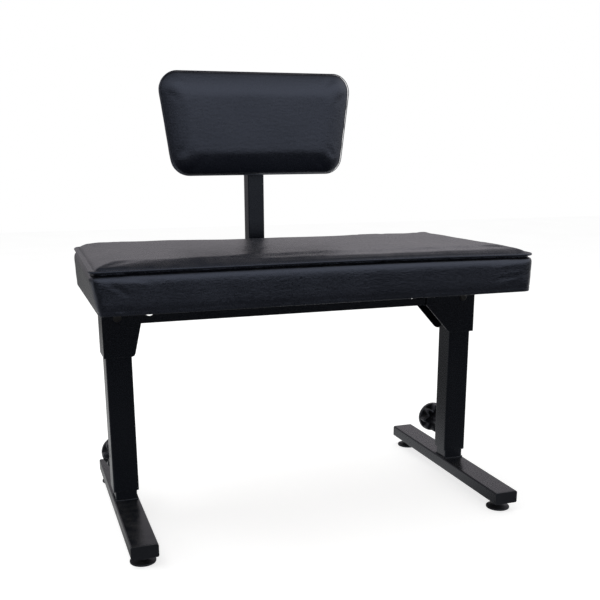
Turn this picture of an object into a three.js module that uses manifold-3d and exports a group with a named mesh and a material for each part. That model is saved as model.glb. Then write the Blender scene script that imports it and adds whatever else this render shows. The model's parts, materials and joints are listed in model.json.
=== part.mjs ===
// Folding keyboard bench: a padded seat and backrest on one cross rail, with two folding,
// telescoping T legs. Millimetres, +Z up, +X to the sitter's left, -Y towards the keyboard side.
import * as THREE from "three";
import { mergeVertices } from "three/addons/utils/BufferGeometryUtils.js";
import Module from "manifold-3d";

const wasm = await Module();
wasm.setup();

// Overall sizes
const seatWidth = 668;
const seatDepth = 340;
const legInset = 40.3;
const heightSetting = 16;
const footClearance = 15;

// Clearances
const gap = 0.3;
const boltClearance = 0.4;
const slideClearance = 1;
const overrun = 2;

// Outer leg tube
const outerTube = 40;
const outerWall = 2;
const outerCorner = 3.2;
const mouthToPivot = 280;

// Inner leg tube, sized to slide in the bore of the outer one
const innerTube = outerTube - 2 * outerWall - 2 * slideClearance;
const innerWall = 2;
const innerCorner = 2.6;
const innerLegLength = 205;
const glideHeight = 12;
const glidePlugDepth = 14;

// Foot bar under each leg
const barWidth = 40;
const barHeight = 20;
const barLength = 385;
const barWall = 1.5;
const barCorner = 2.4;
const barCapThickness = 2.2;
const barCapPlug = 12;
const barHoleDiameter = 6;
const barHoleSetback = 37;
const bossWall = 2.4;
const bossHeight = 8;

// Levelling feet
const footSetback = 24.5;
const footDiameter = 38;
const footRimHeight = 2.6;
const footHeight = 8;
const footNeckDiameter = 17;
const footBoreDepth = 5;
const stemDiameter = 8;
const stemTopAboveBar = 13;
const stemCollarDiameter = 13;
const stemCollarHeight = 3;
const nutAcrossFlats = 13;

// Cross rail: a sheet channel, open below, that the legs fold up into
const legToRail = 0.7;
const railWall = 2;
const railHeight = 35;
const railEndSetback = 15.7;
const railBendRadius = 3;
const railFootBelowPivot = 11;

// Openings in the rail's front and rear walls
const frontHoleHeight = 15;
const frontHoleAboveFoot = 18;
const leftFrontHoleLength = 15;
const leftFrontHoleInset = 49.5;
const rightFrontHoleLength = 29;
const rightFrontHoleInset = 84.7;
const rearHoleHeight = 20;
const rearHoleAboveFoot = 12;
const leftRearHoleLength = 20;
const leftRearHoleInset = 54.7;
const rightRearHoleLength = 35;
const rightRearHoleInset = 86.3;

// Folded sheet brackets that carry the leg pivots
const bracketSheet = 2.5;
const bracketFootBelowPivot = 61.5;
const bracketCorner = 5;
const leftBracketReach = 35.5;
const rightBracketReach = 69.3;
const bracketFootReach = 23.8;
const bracketTopReach = 13.7;
const webClearance = 0.5;

// Leg pivots
const pivotBoltDiameter = 8;
const boltHeadDiameter = 13;
const boltHeadHeight = 3.4;
const pivotNutHeight = 6.5;
const washerDiameter = 24;

// Pull pin that locks each leg upright, drawn back clear of the leg
const lockBelowPivot = 40;
const lockPinDiameter = 8;
const barrelDiameter = 16;
const barrelLength = 14;
const pullKnobDiameter = 20;
const pullKnobLength = 16;
const pullGap = 6;

// Clamping screws and their star knobs
const clampAboveMouth = 38;
const screwDiameter = 8;
const clampNutHeight = 7.5;
const screwReach = 31;
const knobDiameter = 53;
const knobDiscThickness = 8;
const knobLobes = 8;
const knobLobeDepth = 6.5;
const knobThickness = 23;
const knobBevel = 2;
const knobHubDiameter = 24;
const knobHubLength = 22;
const knobStandoff = 0.6;

// Seat board, cushion and the plates that carry them
const crossPlateInset = 184;
const crossPlateWidth = 50;
const crossPlateMargin = 28;
const crossPlateThickness = 3;
const seatBoardThickness = 12;
const seatBoardMargin = 12;
const seatCorner = 16;
const seatSideHeight = 60;
const seatPipe = 4;
const seatCrown = 8;
const seatBulge = 1.2;
const seatTuck = 3;
const crownPower = 2.4;
const boardScrewDiameter = 6;
const boardScrewInset = 60;
const boardScrewLength = 13;
const boardScrewHeadDiameter = 11;
const boardScrewHeadHeight = 3.2;

// Back post with the arm and socket that carry it
const postSize = 30;
const postWall = 1.5;
const postCorner = 2.4;
const postSetback = 240;
const postLength = 392;
const postCapThickness = 3;
const postCapPlug = 12;
const armWidth = 30;
const armHeight = 20;
const armWall = 1.5;
const armCorner = 2.2;
const socketWall = 2.5;
const socketCorner = 3.4;
const socketHeight = 104;
const socketBelowRail = 24;
const socketFloor = 2.5;
const socketClearance = 0.5;
const backClampAboveFloor = 70;

// Backrest pad
const backTopWidth = 357;
const backBottomWidth = 311;
const backHeight = 173.5;
const backRise = 116.4;
const backCorner = 33;
const backSideDepth = 34;
const backCrown = 13;
const backBulge = 1.6;
const backTuck = 2.4;
const backBoardThickness = 12;
const backBoardMargin = 10;
const backPlateWidth = 120;
const backPlateHeight = 90;
const backPlateThickness = 3;
const backScrewSpacingX = 90;
const backScrewSpacingZ = 60;
const backScrewDiameter = 6;
const backScrewLength = 11;
const backScrewHeadDiameter = 11;
const backScrewHeadHeight = 3.2;

// Facets
const roundSteps = 16;
const cornerSteps = 2;
const knobLobeSteps = 6;
const nutSides = 6;
const cushionArcSteps = 5;
const cushionSideSteps = 8;
const cushionEndSteps = 5;

// Heights worked out from the floor up
const barFloor = footClearance;
const barTop = barFloor + barHeight;
const mouthHeight = barTop + heightSetting;
const pivotHeight = mouthHeight + mouthToPivot;
const legTop = pivotHeight + outerTube / 2;
const railFloor = pivotHeight - railFootBelowPivot;
const railTop = railFloor + railHeight;
const bracketFloor = pivotHeight - bracketFootBelowPivot;
const lockHeight = pivotHeight - lockBelowPivot;
const clampHeight = mouthHeight + clampAboveMouth;
const crossPlateFloor = railTop + gap;
const seatBoardFloor = crossPlateFloor + crossPlateThickness + gap;
const seatBoardTop = seatBoardFloor + seatBoardThickness;
const seatPipeHeight = seatBoardFloor + seatSideHeight;
const socketFoot = railFloor - socketBelowRail;
const postFoot = socketFoot + socketFloor + gap;
const armTop = railTop - gap;
const backFoot = seatPipeHeight + backRise;
const legCentre = seatWidth / 2 - legInset;
const railLength = 2 * (legCentre - railEndSetback);
const footSpacing = barLength - 2 * footSetback;
const crossPlateCentre = seatWidth / 2 - crossPlateInset;
const crossPlateReach = seatDepth / 2 - crossPlateMargin;
const boardScrewReach = seatDepth / 2 - boardScrewInset;
const railWidth = outerTube + 2 * (legToRail + railWall);
const plateInner = railWidth / 2 + gap;
const plateOuter = plateInner + bracketSheet;
const washerThickness = plateInner - outerTube / 2 - 2 * gap;
const webInner = outerTube / 2 + webClearance;
const webOuter = webInner + bracketSheet;

// Finishes
const powderBlack = { color: 0x1b1c1e, roughness: 0.55, metalness: 0.3 };
const vinylBlack = { color: 0x15171c, roughness: 0.5, metalness: 0 };
const plasticBlack = { color: 0x101114, roughness: 0.35, metalness: 0 };
const rubberBlack = { color: 0x131313, roughness: 0.8, metalness: 0 };
const zincSteel = { color: 0xa9abad, roughness: 0.35, metalness: 1 };
const blackSteel = { color: 0x191a1b, roughness: 0.4, metalness: 0.8 };
const plywood = { color: 0xb08a5a, roughness: 0.75, metalness: 0 };

function solidOf(geometry) {
  const bare = geometry.clone();
  bare.deleteAttribute("normal");
  bare.deleteAttribute("uv");
  const merged = mergeVertices(bare);
  const mesh = new wasm.Mesh({
    numProp: 3,
    vertProperties: new Float32Array(merged.attributes.position.array),
    triVerts: new Uint32Array(merged.index.array),
  });
  return new wasm.Manifold(mesh);
}

function geometryOf(solid) {
  const mesh = solid.getMesh();
  const geometry = new THREE.BufferGeometry();
  geometry.setAttribute("position", new THREE.BufferAttribute(mesh.vertProperties, 3));
  geometry.setIndex(new THREE.BufferAttribute(mesh.triVerts, 1));
  return geometry;
}

function cut(geometry, tools) {
  return geometryOf(tools.reduce((solid, tool) => solid.subtract(solidOf(tool)), solidOf(geometry)));
}

function join(geometries) {
  return geometryOf(geometries.map(solidOf).reduce((sum, solid) => sum.add(solid)));
}

// Box between two corners
function block(low, high) {
  const size = high.map((value, axis) => value - low[axis]);
  const middle = high.map((value, axis) => (value + low[axis]) / 2);
  return new THREE.BoxGeometry(...size).translate(...middle);
}

// Cylinder along Y from one Y to another
function rodY(radius, from, to, x, z, steps = roundSteps) {
  const rod = new THREE.CylinderGeometry(radius, radius, to - from, steps);
  return rod.translate(x, (from + to) / 2, z);
}

// Cylinder along Z from one height to another
function rodZ(radius, from, to, x, y, steps = roundSteps) {
  const rod = new THREE.CylinderGeometry(radius, radius, to - from, steps);
  return rod.rotateX(Math.PI / 2).translate(x, y, (from + to) / 2);
}

function roundedPath(Path, width, height, radius) {
  const w = width / 2 - radius;
  const h = height / 2 - radius;
  const path = new Path();
  path.moveTo(-w, -h - radius);
  path.absarc(w, -h, radius, -Math.PI / 2, 0);
  path.absarc(w, h, radius, 0, Math.PI / 2);
  path.absarc(-w, h, radius, Math.PI / 2, Math.PI);
  path.absarc(-w, -h, radius, Math.PI, Math.PI * 1.5);
  path.closePath();
  return path;
}

function extrude(section, length) {
  const options = { depth: length, bevelEnabled: false, curveSegments: cornerSteps };
  return new THREE.ExtrudeGeometry(section, options);
}

// Tube of rounded rectangular section along Z, open at both ends
function boxTube(width, height, wall, corner, length) {
  const section = roundedPath(THREE.Shape, width, height, corner);
  const bore = roundedPath(THREE.Path, width - 2 * wall, height - 2 * wall, corner - wall / 2);
  section.holes.push(bore);
  return extrude(section, length);
}

function roundedBar(width, height, corner, length) {
  return extrude(roundedPath(THREE.Shape, width, height, corner), length);
}

// Turns a bar or tube made along Z so that it runs along Y from the given Y
function alongY(geometry, from, x, z) {
  return geometry.rotateX(-Math.PI / 2).translate(x, from, z);
}

function alongX(geometry, from, y, z) {
  return geometry.rotateY(Math.PI / 2).translate(from, y, z);
}

function hexagon(acrossFlats, from, to, x, z) {
  return rodY(acrossFlats / 2 / Math.cos(Math.PI / nutSides), from, to, x, z, nutSides);
}

// Rounded polygon through its corners, counter-clockwise, as points with outward normals
function roundedOutline(corners, radius, sideSteps) {
  const count = corners.length;
  const arcs = corners.map((corner, index) => {
    const before = corners[(index + count - 1) % count];
    const after = corners[(index + 1) % count];
    const arriving = corner.clone().sub(before).normalize();
    const leaving = after.clone().sub(corner).normalize();
    const turn = Math.acos(arriving.dot(leaving));
    const start = corner.clone().addScaledVector(arriving, -radius * Math.tan(turn / 2));
    const normal = new THREE.Vector2(arriving.y, -arriving.x);
    const centre = start.clone().addScaledVector(normal, -radius);
    return { centre, turn, angle: normal.angle() };
  });
  const outline = [];
  arcs.forEach((arc, index) => {
    for (let step = 0; step <= cushionArcSteps; step += 1) {
      const angle = arc.angle + (arc.turn * step) / cushionArcSteps;
      const normal = new THREE.Vector2(Math.cos(angle), Math.sin(angle));
      outline.push({ point: arc.centre.clone().addScaledVector(normal, radius), normal });
    }
    const last = outline[outline.length - 1];
    const next = arcs[(index + 1) % count];
    const nextStart = next.centre.clone().addScaledVector(last.normal, radius);
    const steps = sideSteps[index % sideSteps.length];
    for (let step = 1; step < steps; step += 1) {
      outline.push({ point: last.point.clone().lerp(nextStart, step / steps), normal: last.normal });
    }
  });
  return outline;
}

// Closed solid through a stack of rings that all have as many points, with a fan over each end
function ringSolid(rings) {
  const count = rings[0].length;
  const total = (ring) => ring.reduce((sum, point) => sum.add(point), new THREE.Vector3());
  const middle = (ring) => total(ring).divideScalar(ring.length);
  const points = [...rings.flat(), middle(rings[0]), middle(rings[rings.length - 1])];
  const index = [];
  for (let ring = 0; ring + 1 < rings.length; ring += 1) {
    for (let step = 0; step < count; step += 1) {
      const a = ring * count + step;
      const b = ring * count + ((step + 1) % count);
      index.push(a, b, b + count, a, b + count, a + count);
    }
  }
  const lastRing = (rings.length - 1) * count;
  for (let step = 0; step < count; step += 1) {
    const after = (step + 1) % count;
    index.push(points.length - 2, after, step);
    index.push(points.length - 1, lastRing + step, lastRing + after);
  }
  const geometry = new THREE.BufferGeometry().setFromPoints(points);
  geometry.setIndex(index);
  return geometry;
}

// Upholstered pad on a board: the rings run from the board's recess, round the hem and up the
// drawn-in, bulging side to the seam, then inwards over the crown.
function cushion(form) {
  const { outline, recess, hem, recessRoof, seam, pipe, crown, bulge, tuck } = form;
  const side = seam - hem;
  const ringAt = (points, offset, height) =>
    points.map(({ point, normal }) => {
      const moved = point.clone().addScaledVector(normal, offset);
      return new THREE.Vector3(moved.x, moved.y, height);
    });
  const sideShares = [0.12, 0.3, 0.5, 0.7, 0.88];
  const sideRings = sideShares.map((share) => {
    const swell = Math.sin(Math.PI * share);
    return ringAt(outline, bulge * swell - (tuck * (1 - swell)) / 2, hem + side * share);
  });
  const crownShares = [0.92, 0.8, 0.6, 0.34];
  const centre = new THREE.Vector2();
  outline.forEach(({ point }) => centre.add(point));
  centre.divideScalar(outline.length);
  const crownRings = crownShares.map((share) =>
    outline.map(({ point }) => {
      const moved = point.clone().sub(centre).multiplyScalar(share).add(centre);
      return new THREE.Vector3(moved.x, moved.y, seam + pipe / 2 + crown * (1 - share ** crownPower));
    }),
  );
  return ringSolid([
    ringAt(recess, 0, recessRoof),
    ringAt(recess, 0, hem),
    ringAt(outline, -tuck, hem),
    ...sideRings,
    ringAt(outline, -tuck / 2, seam - pipe / 2),
    ringAt(outline, 0, seam),
    ringAt(outline, -pipe / 2, seam + pipe / 2),
    ...crownRings,
  ]);
}

const bench = new THREE.Group();
bench.name = "folding_keyboard_bench";

function add(parent, name, geometry, finish) {
  const mesh = new THREE.Mesh(geometry, new THREE.MeshStandardMaterial(finish));
  mesh.geometry.computeVertexNormals();
  mesh.name = name;
  parent.add(mesh);
}

// Outline of the knob's grip, with as many rounded lobes as it has scallops
function gripOutline() {
  const steps = knobLobes * knobLobeSteps;
  const outline = [];
  for (let step = 0; step < steps; step += 1) {
    const angle = (2 * Math.PI * step) / steps;
    const scallop = (knobLobeDepth * (1 - Math.cos(knobLobes * angle))) / 2;
    const radius = knobDiameter / 2 - knobBevel - scallop;
    outline.push(new THREE.Vector2(radius * Math.cos(angle), radius * Math.sin(angle)));
  }
  return outline;
}

// Star knob pressed on a clamping screw: a round hub just behind the weld nut, a lobed grip and a
// round disc behind it. Its blind bore ends just past the end of the screw.
function starKnob(x, tipY, tubeFace, z) {
  const hubStart = tubeFace + clampNutHeight + knobStandoff;
  const gripStart = hubStart + knobHubLength;
  const discStart = gripStart + knobThickness - knobDiscThickness;
  const grip = new THREE.ExtrudeGeometry(new THREE.Shape(gripOutline()), {
    depth: discStart - gripStart - knobBevel,
    bevelEnabled: true,
    bevelThickness: knobBevel,
    bevelSize: knobBevel,
    bevelSegments: 1,
  });
  alongY(grip, gripStart + knobBevel, x, z);
  const discRadius = knobDiameter / 2;
  const disc = new THREE.LatheGeometry(
    [
      new THREE.Vector2(0, 0),
      new THREE.Vector2(discRadius - knobBevel, 0),
      new THREE.Vector2(discRadius, knobBevel),
      new THREE.Vector2(discRadius, knobDiscThickness - knobBevel),
      new THREE.Vector2(discRadius - knobBevel, knobDiscThickness),
      new THREE.Vector2(0, knobDiscThickness),
    ],
    2 * roundSteps,
  );
  disc.translate(x, discStart, z);
  const hub = rodY(knobHubDiameter / 2, hubStart, gripStart + knobBevel, x, z);
  const boreRadius = screwDiameter / 2 + boltClearance;
  const bore = rodY(boreRadius, hubStart - overrun, tipY + screwReach + gap, x, z);
  return cut(join([grip, disc, hub]), [bore]);
}

function clampScrew(x, tipY, z) {
  return rodY(screwDiameter / 2, tipY, tipY + screwReach, x, z);
}

// Nut welded over the screw's hole in a tube wall, rooted in that wall
function weldNut(x, faceY, wall, z) {
  return hexagon(nutAcrossFlats, faceY - wall / 2, faceY + clampNutHeight, x, z);
}

// Round-headed bolt along Y through both bracket plates and the rail, with its nut
function pivotBolt(x, z) {
  const start = -plateOuter - gap;
  const end = plateOuter + gap + pivotNutHeight + overrun;
  const shank = rodY(pivotBoltDiameter / 2, start - boltHeadHeight / 2, end, x, z);
  const headShares = [[0, 0], [1, 0], [1, 0.33], [0.72, 0.8], [0, 1]];
  const size = new THREE.Vector2(boltHeadDiameter / 2, boltHeadHeight);
  const profile = headShares.map((shares) => new THREE.Vector2(...shares).multiply(size));
  const head = new THREE.LatheGeometry(profile, roundSteps);
  head.rotateX(Math.PI).translate(x, start, z);
  return join([shank, head]);
}

function pivotNut(x, z) {
  const from = plateOuter + gap;
  const nut = hexagon(nutAcrossFlats, from, from + pivotNutHeight, x, z);
  const threadRadius = pivotBoltDiameter / 2 + boltClearance;
  return cut(nut, [rodY(threadRadius, from - overrun, from + pivotNutHeight + overrun, x, z)]);
}

// Thrust washer on the pivot bolt, between the leg and one bracket plate
function pivotWasher(x, end) {
  const near = outerTube / 2 + gap;
  const far = near + washerThickness;
  const [from, to] = end > 0 ? [near, far] : [-far, -near];
  const bore = rodY(pivotBoltDiameter / 2 + boltClearance, from - overrun, to + overrun, x, pivotHeight);
  return cut(rodY(washerDiameter / 2, from, to, x, pivotHeight), [bore]);
}

// Round-ended slot through one wall of the rail, the front one or the rear one
function railSlot(end, x, length) {
  const height = end < 0 ? frontHoleHeight : rearHoleHeight;
  const z = railFloor + (end < 0 ? frontHoleAboveFoot : rearHoleAboveFoot);
  const reach = railWidth / 2 + overrun;
  const [from, to] = end < 0 ? [-reach, 0] : [0, reach];
  const radius = height / 2;
  const shift = length / 2 - radius;
  if (shift === 0) {
    return rodY(radius, from, to, x, z);
  }
  const ends = [x - shift, x + shift].map((at) => rodY(radius, from, to, at, z));
  const web = block([x - shift, from, z - radius], [x + shift, to, z + radius]);
  return join([...ends, web]);
}

// Channel section with two rounded bends at the top, run along X
function crossRail() {
  const outer = alongX(
    roundedBar(railHeight + railBendRadius, railWidth, railBendRadius, railLength),
    -railLength / 2,
    0,
    railTop - (railHeight + railBendRadius) / 2,
  );
  const half = railLength / 2 + overrun;
  const inside = railWidth / 2 - railWall;
  const trough = block([-half, -inside, railFloor - overrun], [half, inside, railTop - railWall]);
  const below = block(
    [-half, -railWidth / 2 - overrun, railFloor - railHeight],
    [half, railWidth / 2 + overrun, railFloor],
  );
  return cut(outer, [
    trough,
    below,
    railSlot(-1, leftFrontHoleInset - legCentre, leftFrontHoleLength),
    railSlot(-1, legCentre - rightFrontHoleInset, rightFrontHoleLength),
    railSlot(1, leftRearHoleInset - legCentre, leftRearHoleLength),
    railSlot(1, legCentre - rightRearHoleInset, rightRearHoleLength),
  ]);
}

// Folded sheet bracket round a leg top, made for the right end and turned for the left one. Two
// plates lie against the rail's walls, a web closes the outer end and a flange covers the top.
function legBracket(side) {
  const reach = side < 0 ? leftBracketReach : rightBracketReach;
  const slopeStart = new THREE.Vector2(-bracketFootReach, bracketFloor);
  const slopeEnd = new THREE.Vector2(-reach, railFloor);
  const slope = slopeEnd.clone().sub(slopeStart).normalize();
  const afterCorner = slopeStart.clone().addScaledVector(slope, bracketCorner);
  const plate = new THREE.Shape();
  plate.moveTo(webOuter, bracketFloor);
  plate.lineTo(webOuter, railTop);
  plate.lineTo(-reach, railTop);
  plate.lineTo(slopeEnd.x, slopeEnd.y);
  plate.lineTo(afterCorner.x, afterCorner.y);
  plate.quadraticCurveTo(slopeStart.x, slopeStart.y, slopeStart.x + bracketCorner, bracketFloor);
  plate.closePath();
  const blank = extrude(plate, 2 * plateOuter).rotateX(Math.PI / 2).translate(0, plateOuter, 0);
  const roof = railTop - bracketSheet;
  const far = -reach - overrun;
  const pivotRadius = pivotBoltDiameter / 2 + boltClearance;
  const pinRadius = lockPinDiameter / 2 + boltClearance;
  const past = plateOuter + overrun;
  const rearFrom = side > 0 ? 0 : -past;
  const bracket = cut(blank, [
    block([far, -plateInner, bracketFloor - overrun], [webInner, plateInner, roof]),
    block([far, -plateInner, roof - overrun], [-bracketTopReach, plateInner, railTop + overrun]),
    rodY(pivotRadius, -past, past, 0, pivotHeight),
    rodY(pinRadius, rearFrom, rearFrom + past, 0, lockHeight),
  ]);
  const turned = side > 0 ? bracket : bracket.rotateZ(Math.PI);
  return turned.translate(side * legCentre, 0, 0);
}

// Square tube with its top rounded about the pivot
function outerLeg(x) {
  const half = outerTube / 2;
  const tube = boxTube(outerTube, outerTube, outerWall, outerCorner, legTop - mouthHeight);
  const reach = half + overrun;
  const square = block([x - reach, -reach, pivotHeight], [x + reach, reach, legTop + overrun]);
  const round = rodY(half, -reach - overrun, reach + overrun, x, pivotHeight, 2 * roundSteps);
  const crown = cut(square, [round]);
  const welded = join([tube.translate(x, 0, mouthHeight), weldNut(x, half, outerWall, clampHeight)]);
  return cut(welded, [
    crown,
    rodY(pivotBoltDiameter / 2 + boltClearance, -reach, reach, x, pivotHeight),
    rodY(screwDiameter / 2 + boltClearance, 0, reach + clampNutHeight, x, clampHeight),
    rodY(lockPinDiameter / 2 + boltClearance, 0, reach, x, lockHeight),
  ]);
}

function lockBarrel(x) {
  const from = plateOuter + gap;
  const barrel = rodY(barrelDiameter / 2, from, from + barrelLength, x, lockHeight);
  const boreRadius = lockPinDiameter / 2 + boltClearance;
  return cut(barrel, [rodY(boreRadius, from - overrun, from + barrelLength + overrun, x, lockHeight)]);
}

// Pull pin with its knob, drawn back so that the tip clears the leg
function lockPin(x) {
  const tip = outerTube / 2 + gap;
  const knobStart = plateOuter + gap + barrelLength + pullGap;
  const pin = rodY(lockPinDiameter / 2, tip, knobStart + overrun, x, lockHeight);
  return join([pin, rodY(pullKnobDiameter / 2, knobStart, knobStart + pullKnobLength, x, lockHeight)]);
}

// Plastic glide on the top end of the inner tube, running in the bore of the outer one
function legGlide(x, top) {
  const head = outerTube - 2 * outerWall - 2 * gap;
  const plug = innerTube - 2 * innerWall - 2 * gap;
  const headBlock = roundedBar(head, head, innerCorner, glideHeight).translate(x, 0, top + gap);
  const plugBlock = roundedBar(plug, plug, innerCorner - innerWall / 2, glidePlugDepth + gap + overrun);
  return join([headBlock, plugBlock.translate(x, 0, top - glidePlugDepth)]);
}

// Foot bar with a hole in its outer side and a drawn threaded boss over each levelling foot
function footBar(x) {
  const tubeLength = barLength - 2 * (barCapThickness + gap);
  const middle = barFloor + barHeight / 2;
  const blank = boxTube(barWidth, barHeight, barWall, barCorner, tubeLength);
  const tube = alongY(blank, -tubeLength / 2, x, middle);
  const side = Math.sign(x);
  const drillLength = barWall + 2 * overrun;
  const drillRadius = barHoleDiameter / 2;
  const drill = new THREE.CylinderGeometry(drillRadius, drillRadius, drillLength, roundSteps);
  drill.rotateZ(Math.PI / 2).translate(x + (side * (barWidth - barWall)) / 2, -barHoleSetback, middle);
  const stemRadius = stemDiameter / 2 + boltClearance;
  const bossTop = barFloor + bossHeight;
  const places = [-footSpacing / 2, footSpacing / 2];
  const bosses = places.map((y) => rodZ(stemRadius + bossWall, barFloor + barWall / 2, bossTop, x, y));
  const threads = places.map((y) => rodZ(stemRadius, barFloor - overrun, bossTop + overrun, x, y));
  return cut(join([tube, ...bosses]), [drill, ...threads]);
}

function barCap(x, end) {
  const middle = barFloor + barHeight / 2;
  const plate = roundedBar(barWidth, barHeight, barCorner, barCapThickness);
  const plugWidth = barWidth - 2 * barWall - 2 * gap;
  const plugHeight = barHeight - 2 * barWall - 2 * gap;
  const plug = roundedBar(plugWidth, plugHeight, barCorner - barWall / 2, barCapPlug + overrun);
  const half = barLength / 2;
  const plateStart = end > 0 ? half - barCapThickness : -half;
  const plugStart = end > 0 ? half - barCapThickness - barCapPlug : -half + barCapThickness - overrun;
  return join([alongY(plate, plateStart, x, middle), alongY(plug, plugStart, x, middle)]);
}

function footStem(x, y) {
  const foot = footHeight - footBoreDepth + gap;
  const shank = rodZ(stemDiameter / 2, foot, barFloor + stemTopAboveBar, x, y);
  const collar = rodZ(stemCollarDiameter / 2, footHeight + gap, footHeight + gap + stemCollarHeight, x, y);
  return join([shank, collar]);
}

function footPad(x, y) {
  const pad = new THREE.LatheGeometry(
    [
      new THREE.Vector2(0, 0),
      new THREE.Vector2(footDiameter / 2 - footRimHeight / 4, 0),
      new THREE.Vector2(footDiameter / 2, footRimHeight / 3),
      new THREE.Vector2(footDiameter / 2, footRimHeight),
      new THREE.Vector2(footNeckDiameter / 2, footHeight - footRimHeight / 2),
      new THREE.Vector2(footNeckDiameter / 2, footHeight),
      new THREE.Vector2(0, footHeight),
    ],
    roundSteps,
  );
  pad.rotateX(Math.PI / 2).translate(x, y, 0);
  const boreRadius = stemDiameter / 2 + boltClearance;
  return cut(pad, [rodZ(boreRadius, footHeight - footBoreDepth, footHeight + overrun, x, y)]);
}

// One folding leg with everything that hangs from it
function addLeg(side) {
  const label = side < 0 ? "left" : "right";
  const x = side * legCentre;
  const leg = new THREE.Group();
  const screwTip = innerTube / 2 + gap;
  const innerTop = barTop + gap + innerLegLength;
  add(leg, `${label}_leg_bracket`, legBracket(side), powderBlack);
  add(leg, `${label}_outer_leg`, outerLeg(x), powderBlack);
  add(leg, `${label}_lock_barrel`, lockBarrel(x), zincSteel);
  add(leg, `${label}_lock_pin`, lockPin(x), blackSteel);
  add(leg, `${label}_clamp_screw`, clampScrew(x, screwTip, clampHeight), zincSteel);
  add(leg, `${label}_star_knob`, starKnob(x, screwTip, outerTube / 2, clampHeight), plasticBlack);
  const innerLeg = boxTube(innerTube, innerTube, innerWall, innerCorner, innerLegLength);
  add(leg, `${label}_inner_leg`, innerLeg.translate(x, 0, barTop + gap), powderBlack);
  add(leg, `${label}_leg_glide`, legGlide(x, innerTop), plasticBlack);
  add(leg, `${label}_foot_bar`, footBar(x), powderBlack);
  add(leg, `${label}_bar_front_cap`, barCap(x, -1), plasticBlack);
  add(leg, `${label}_bar_rear_cap`, barCap(x, 1), plasticBlack);
  for (const [place, end] of [["front", -1], ["rear", 1]]) {
    const y = (end * footSpacing) / 2;
    add(leg, `${label}_${place}_foot_stem`, footStem(x, y), zincSteel);
    add(leg, `${label}_${place}_foot_pad`, footPad(x, y), rubberBlack);
    add(leg, `${label}_${place}_washer`, pivotWasher(x, end), plasticBlack);
  }
  add(leg, `${label}_pivot_bolt`, pivotBolt(x, pivotHeight), blackSteel);
  add(leg, `${label}_pivot_nut`, pivotNut(x, pivotHeight), blackSteel);
  bench.add(leg);
}

function rectangleCorners(width, depth) {
  const w = width / 2;
  const d = depth / 2;
  return [[-w, -d], [w, -d], [w, d], [-w, d]].map(([x, y]) => new THREE.Vector2(x, y));
}

const boardScrewPlaces = [-1, 1].flatMap((sideX) =>
  [-1, 1].map((sideY) => [sideX * crossPlateCentre, sideY * boardScrewReach]),
);

function boardScrewHoles(from, to) {
  return boardScrewPlaces.map(([x, y]) => rodZ(boardScrewDiameter / 2 + boltClearance, from, to, x, y));
}

function crossPlate(side) {
  const x = side * crossPlateCentre;
  const low = [x - crossPlateWidth / 2, -crossPlateReach, crossPlateFloor];
  const high = [x + crossPlateWidth / 2, crossPlateReach, crossPlateFloor + crossPlateThickness];
  const holes = boardScrewHoles(crossPlateFloor - overrun, crossPlateFloor + crossPlateThickness + overrun);
  return cut(block(low, high), holes);
}

function seatScrew([x, y]) {
  const headTop = crossPlateFloor - gap;
  return join([
    rodZ(boardScrewDiameter / 2, headTop - overrun, headTop + boardScrewLength, x, y),
    rodZ(boardScrewHeadDiameter / 2, headTop - boardScrewHeadHeight, headTop, x, y),
  ]);
}

function addSeat() {
  const boardWidth = seatWidth - 2 * seatBoardMargin;
  const boardDepth = seatDepth - 2 * seatBoardMargin;
  const boardCorner = seatCorner - seatBoardMargin;
  const board = roundedBar(boardWidth, boardDepth, boardCorner, seatBoardThickness);
  const holes = boardScrewHoles(seatBoardFloor - overrun, seatBoardTop + overrun);
  const sideSteps = [cushionSideSteps, cushionEndSteps];
  const recessCorners = rectangleCorners(boardWidth + 2 * gap, boardDepth + 2 * gap);
  const pad = cushion({
    outline: roundedOutline(rectangleCorners(seatWidth, seatDepth), seatCorner, sideSteps),
    recess: roundedOutline(recessCorners, boardCorner + gap, sideSteps),
    hem: seatBoardFloor,
    recessRoof: seatBoardTop + gap,
    seam: seatPipeHeight,
    pipe: seatPipe,
    crown: seatCrown,
    bulge: seatBulge,
    tuck: seatTuck,
  });
  add(bench, "cross_rail", crossRail(), powderBlack);
  add(bench, "left_cross_plate", crossPlate(-1), powderBlack);
  add(bench, "right_cross_plate", crossPlate(1), powderBlack);
  add(bench, "seat_board", cut(board.translate(0, 0, seatBoardFloor), holes), plywood);
  boardScrewPlaces.forEach((place, index) => {
    add(bench, `seat_screw_${index + 1}`, seatScrew(place), zincSteel);
  });
  add(bench, "seat_cushion", pad, vinylBlack);
}

// Socket with a closed floor that the back post stands in
function backSocket() {
  const size = postSize + 2 * (socketClearance + socketWall);
  const sleeve = boxTube(size, size, socketWall, socketCorner, socketHeight);
  const floor = roundedBar(size, size, socketCorner, socketFloor);
  const cup = join([sleeve, floor]).translate(0, postSetback, socketFoot);
  const face = postSetback + size / 2;
  const reach = face + clampNutHeight + overrun;
  const clampZ = socketFoot + backClampAboveFloor;
  const nut = weldNut(0, face, socketWall, clampZ);
  return cut(join([cup, nut]), [rodY(screwDiameter / 2 + boltClearance, postSetback, reach, 0, clampZ)]);
}

// Backrest outline in X and Z, wider at the top
function backCorners(margin) {
  const top = backTopWidth / 2 - margin;
  const bottom = backBottomWidth / 2 - margin;
  const low = backFoot + margin;
  const high = backFoot + backHeight - margin;
  const corners = [[-bottom, low], [bottom, low], [top, high], [-top, high]];
  return corners.map(([x, z]) => new THREE.Vector2(x, z));
}

// The pad is modelled lying on its back and then stood up, so its depth runs towards -Y
function standUp(geometry, rearY) {
  return geometry.rotateX(Math.PI / 2).translate(0, rearY, 0);
}

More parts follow.
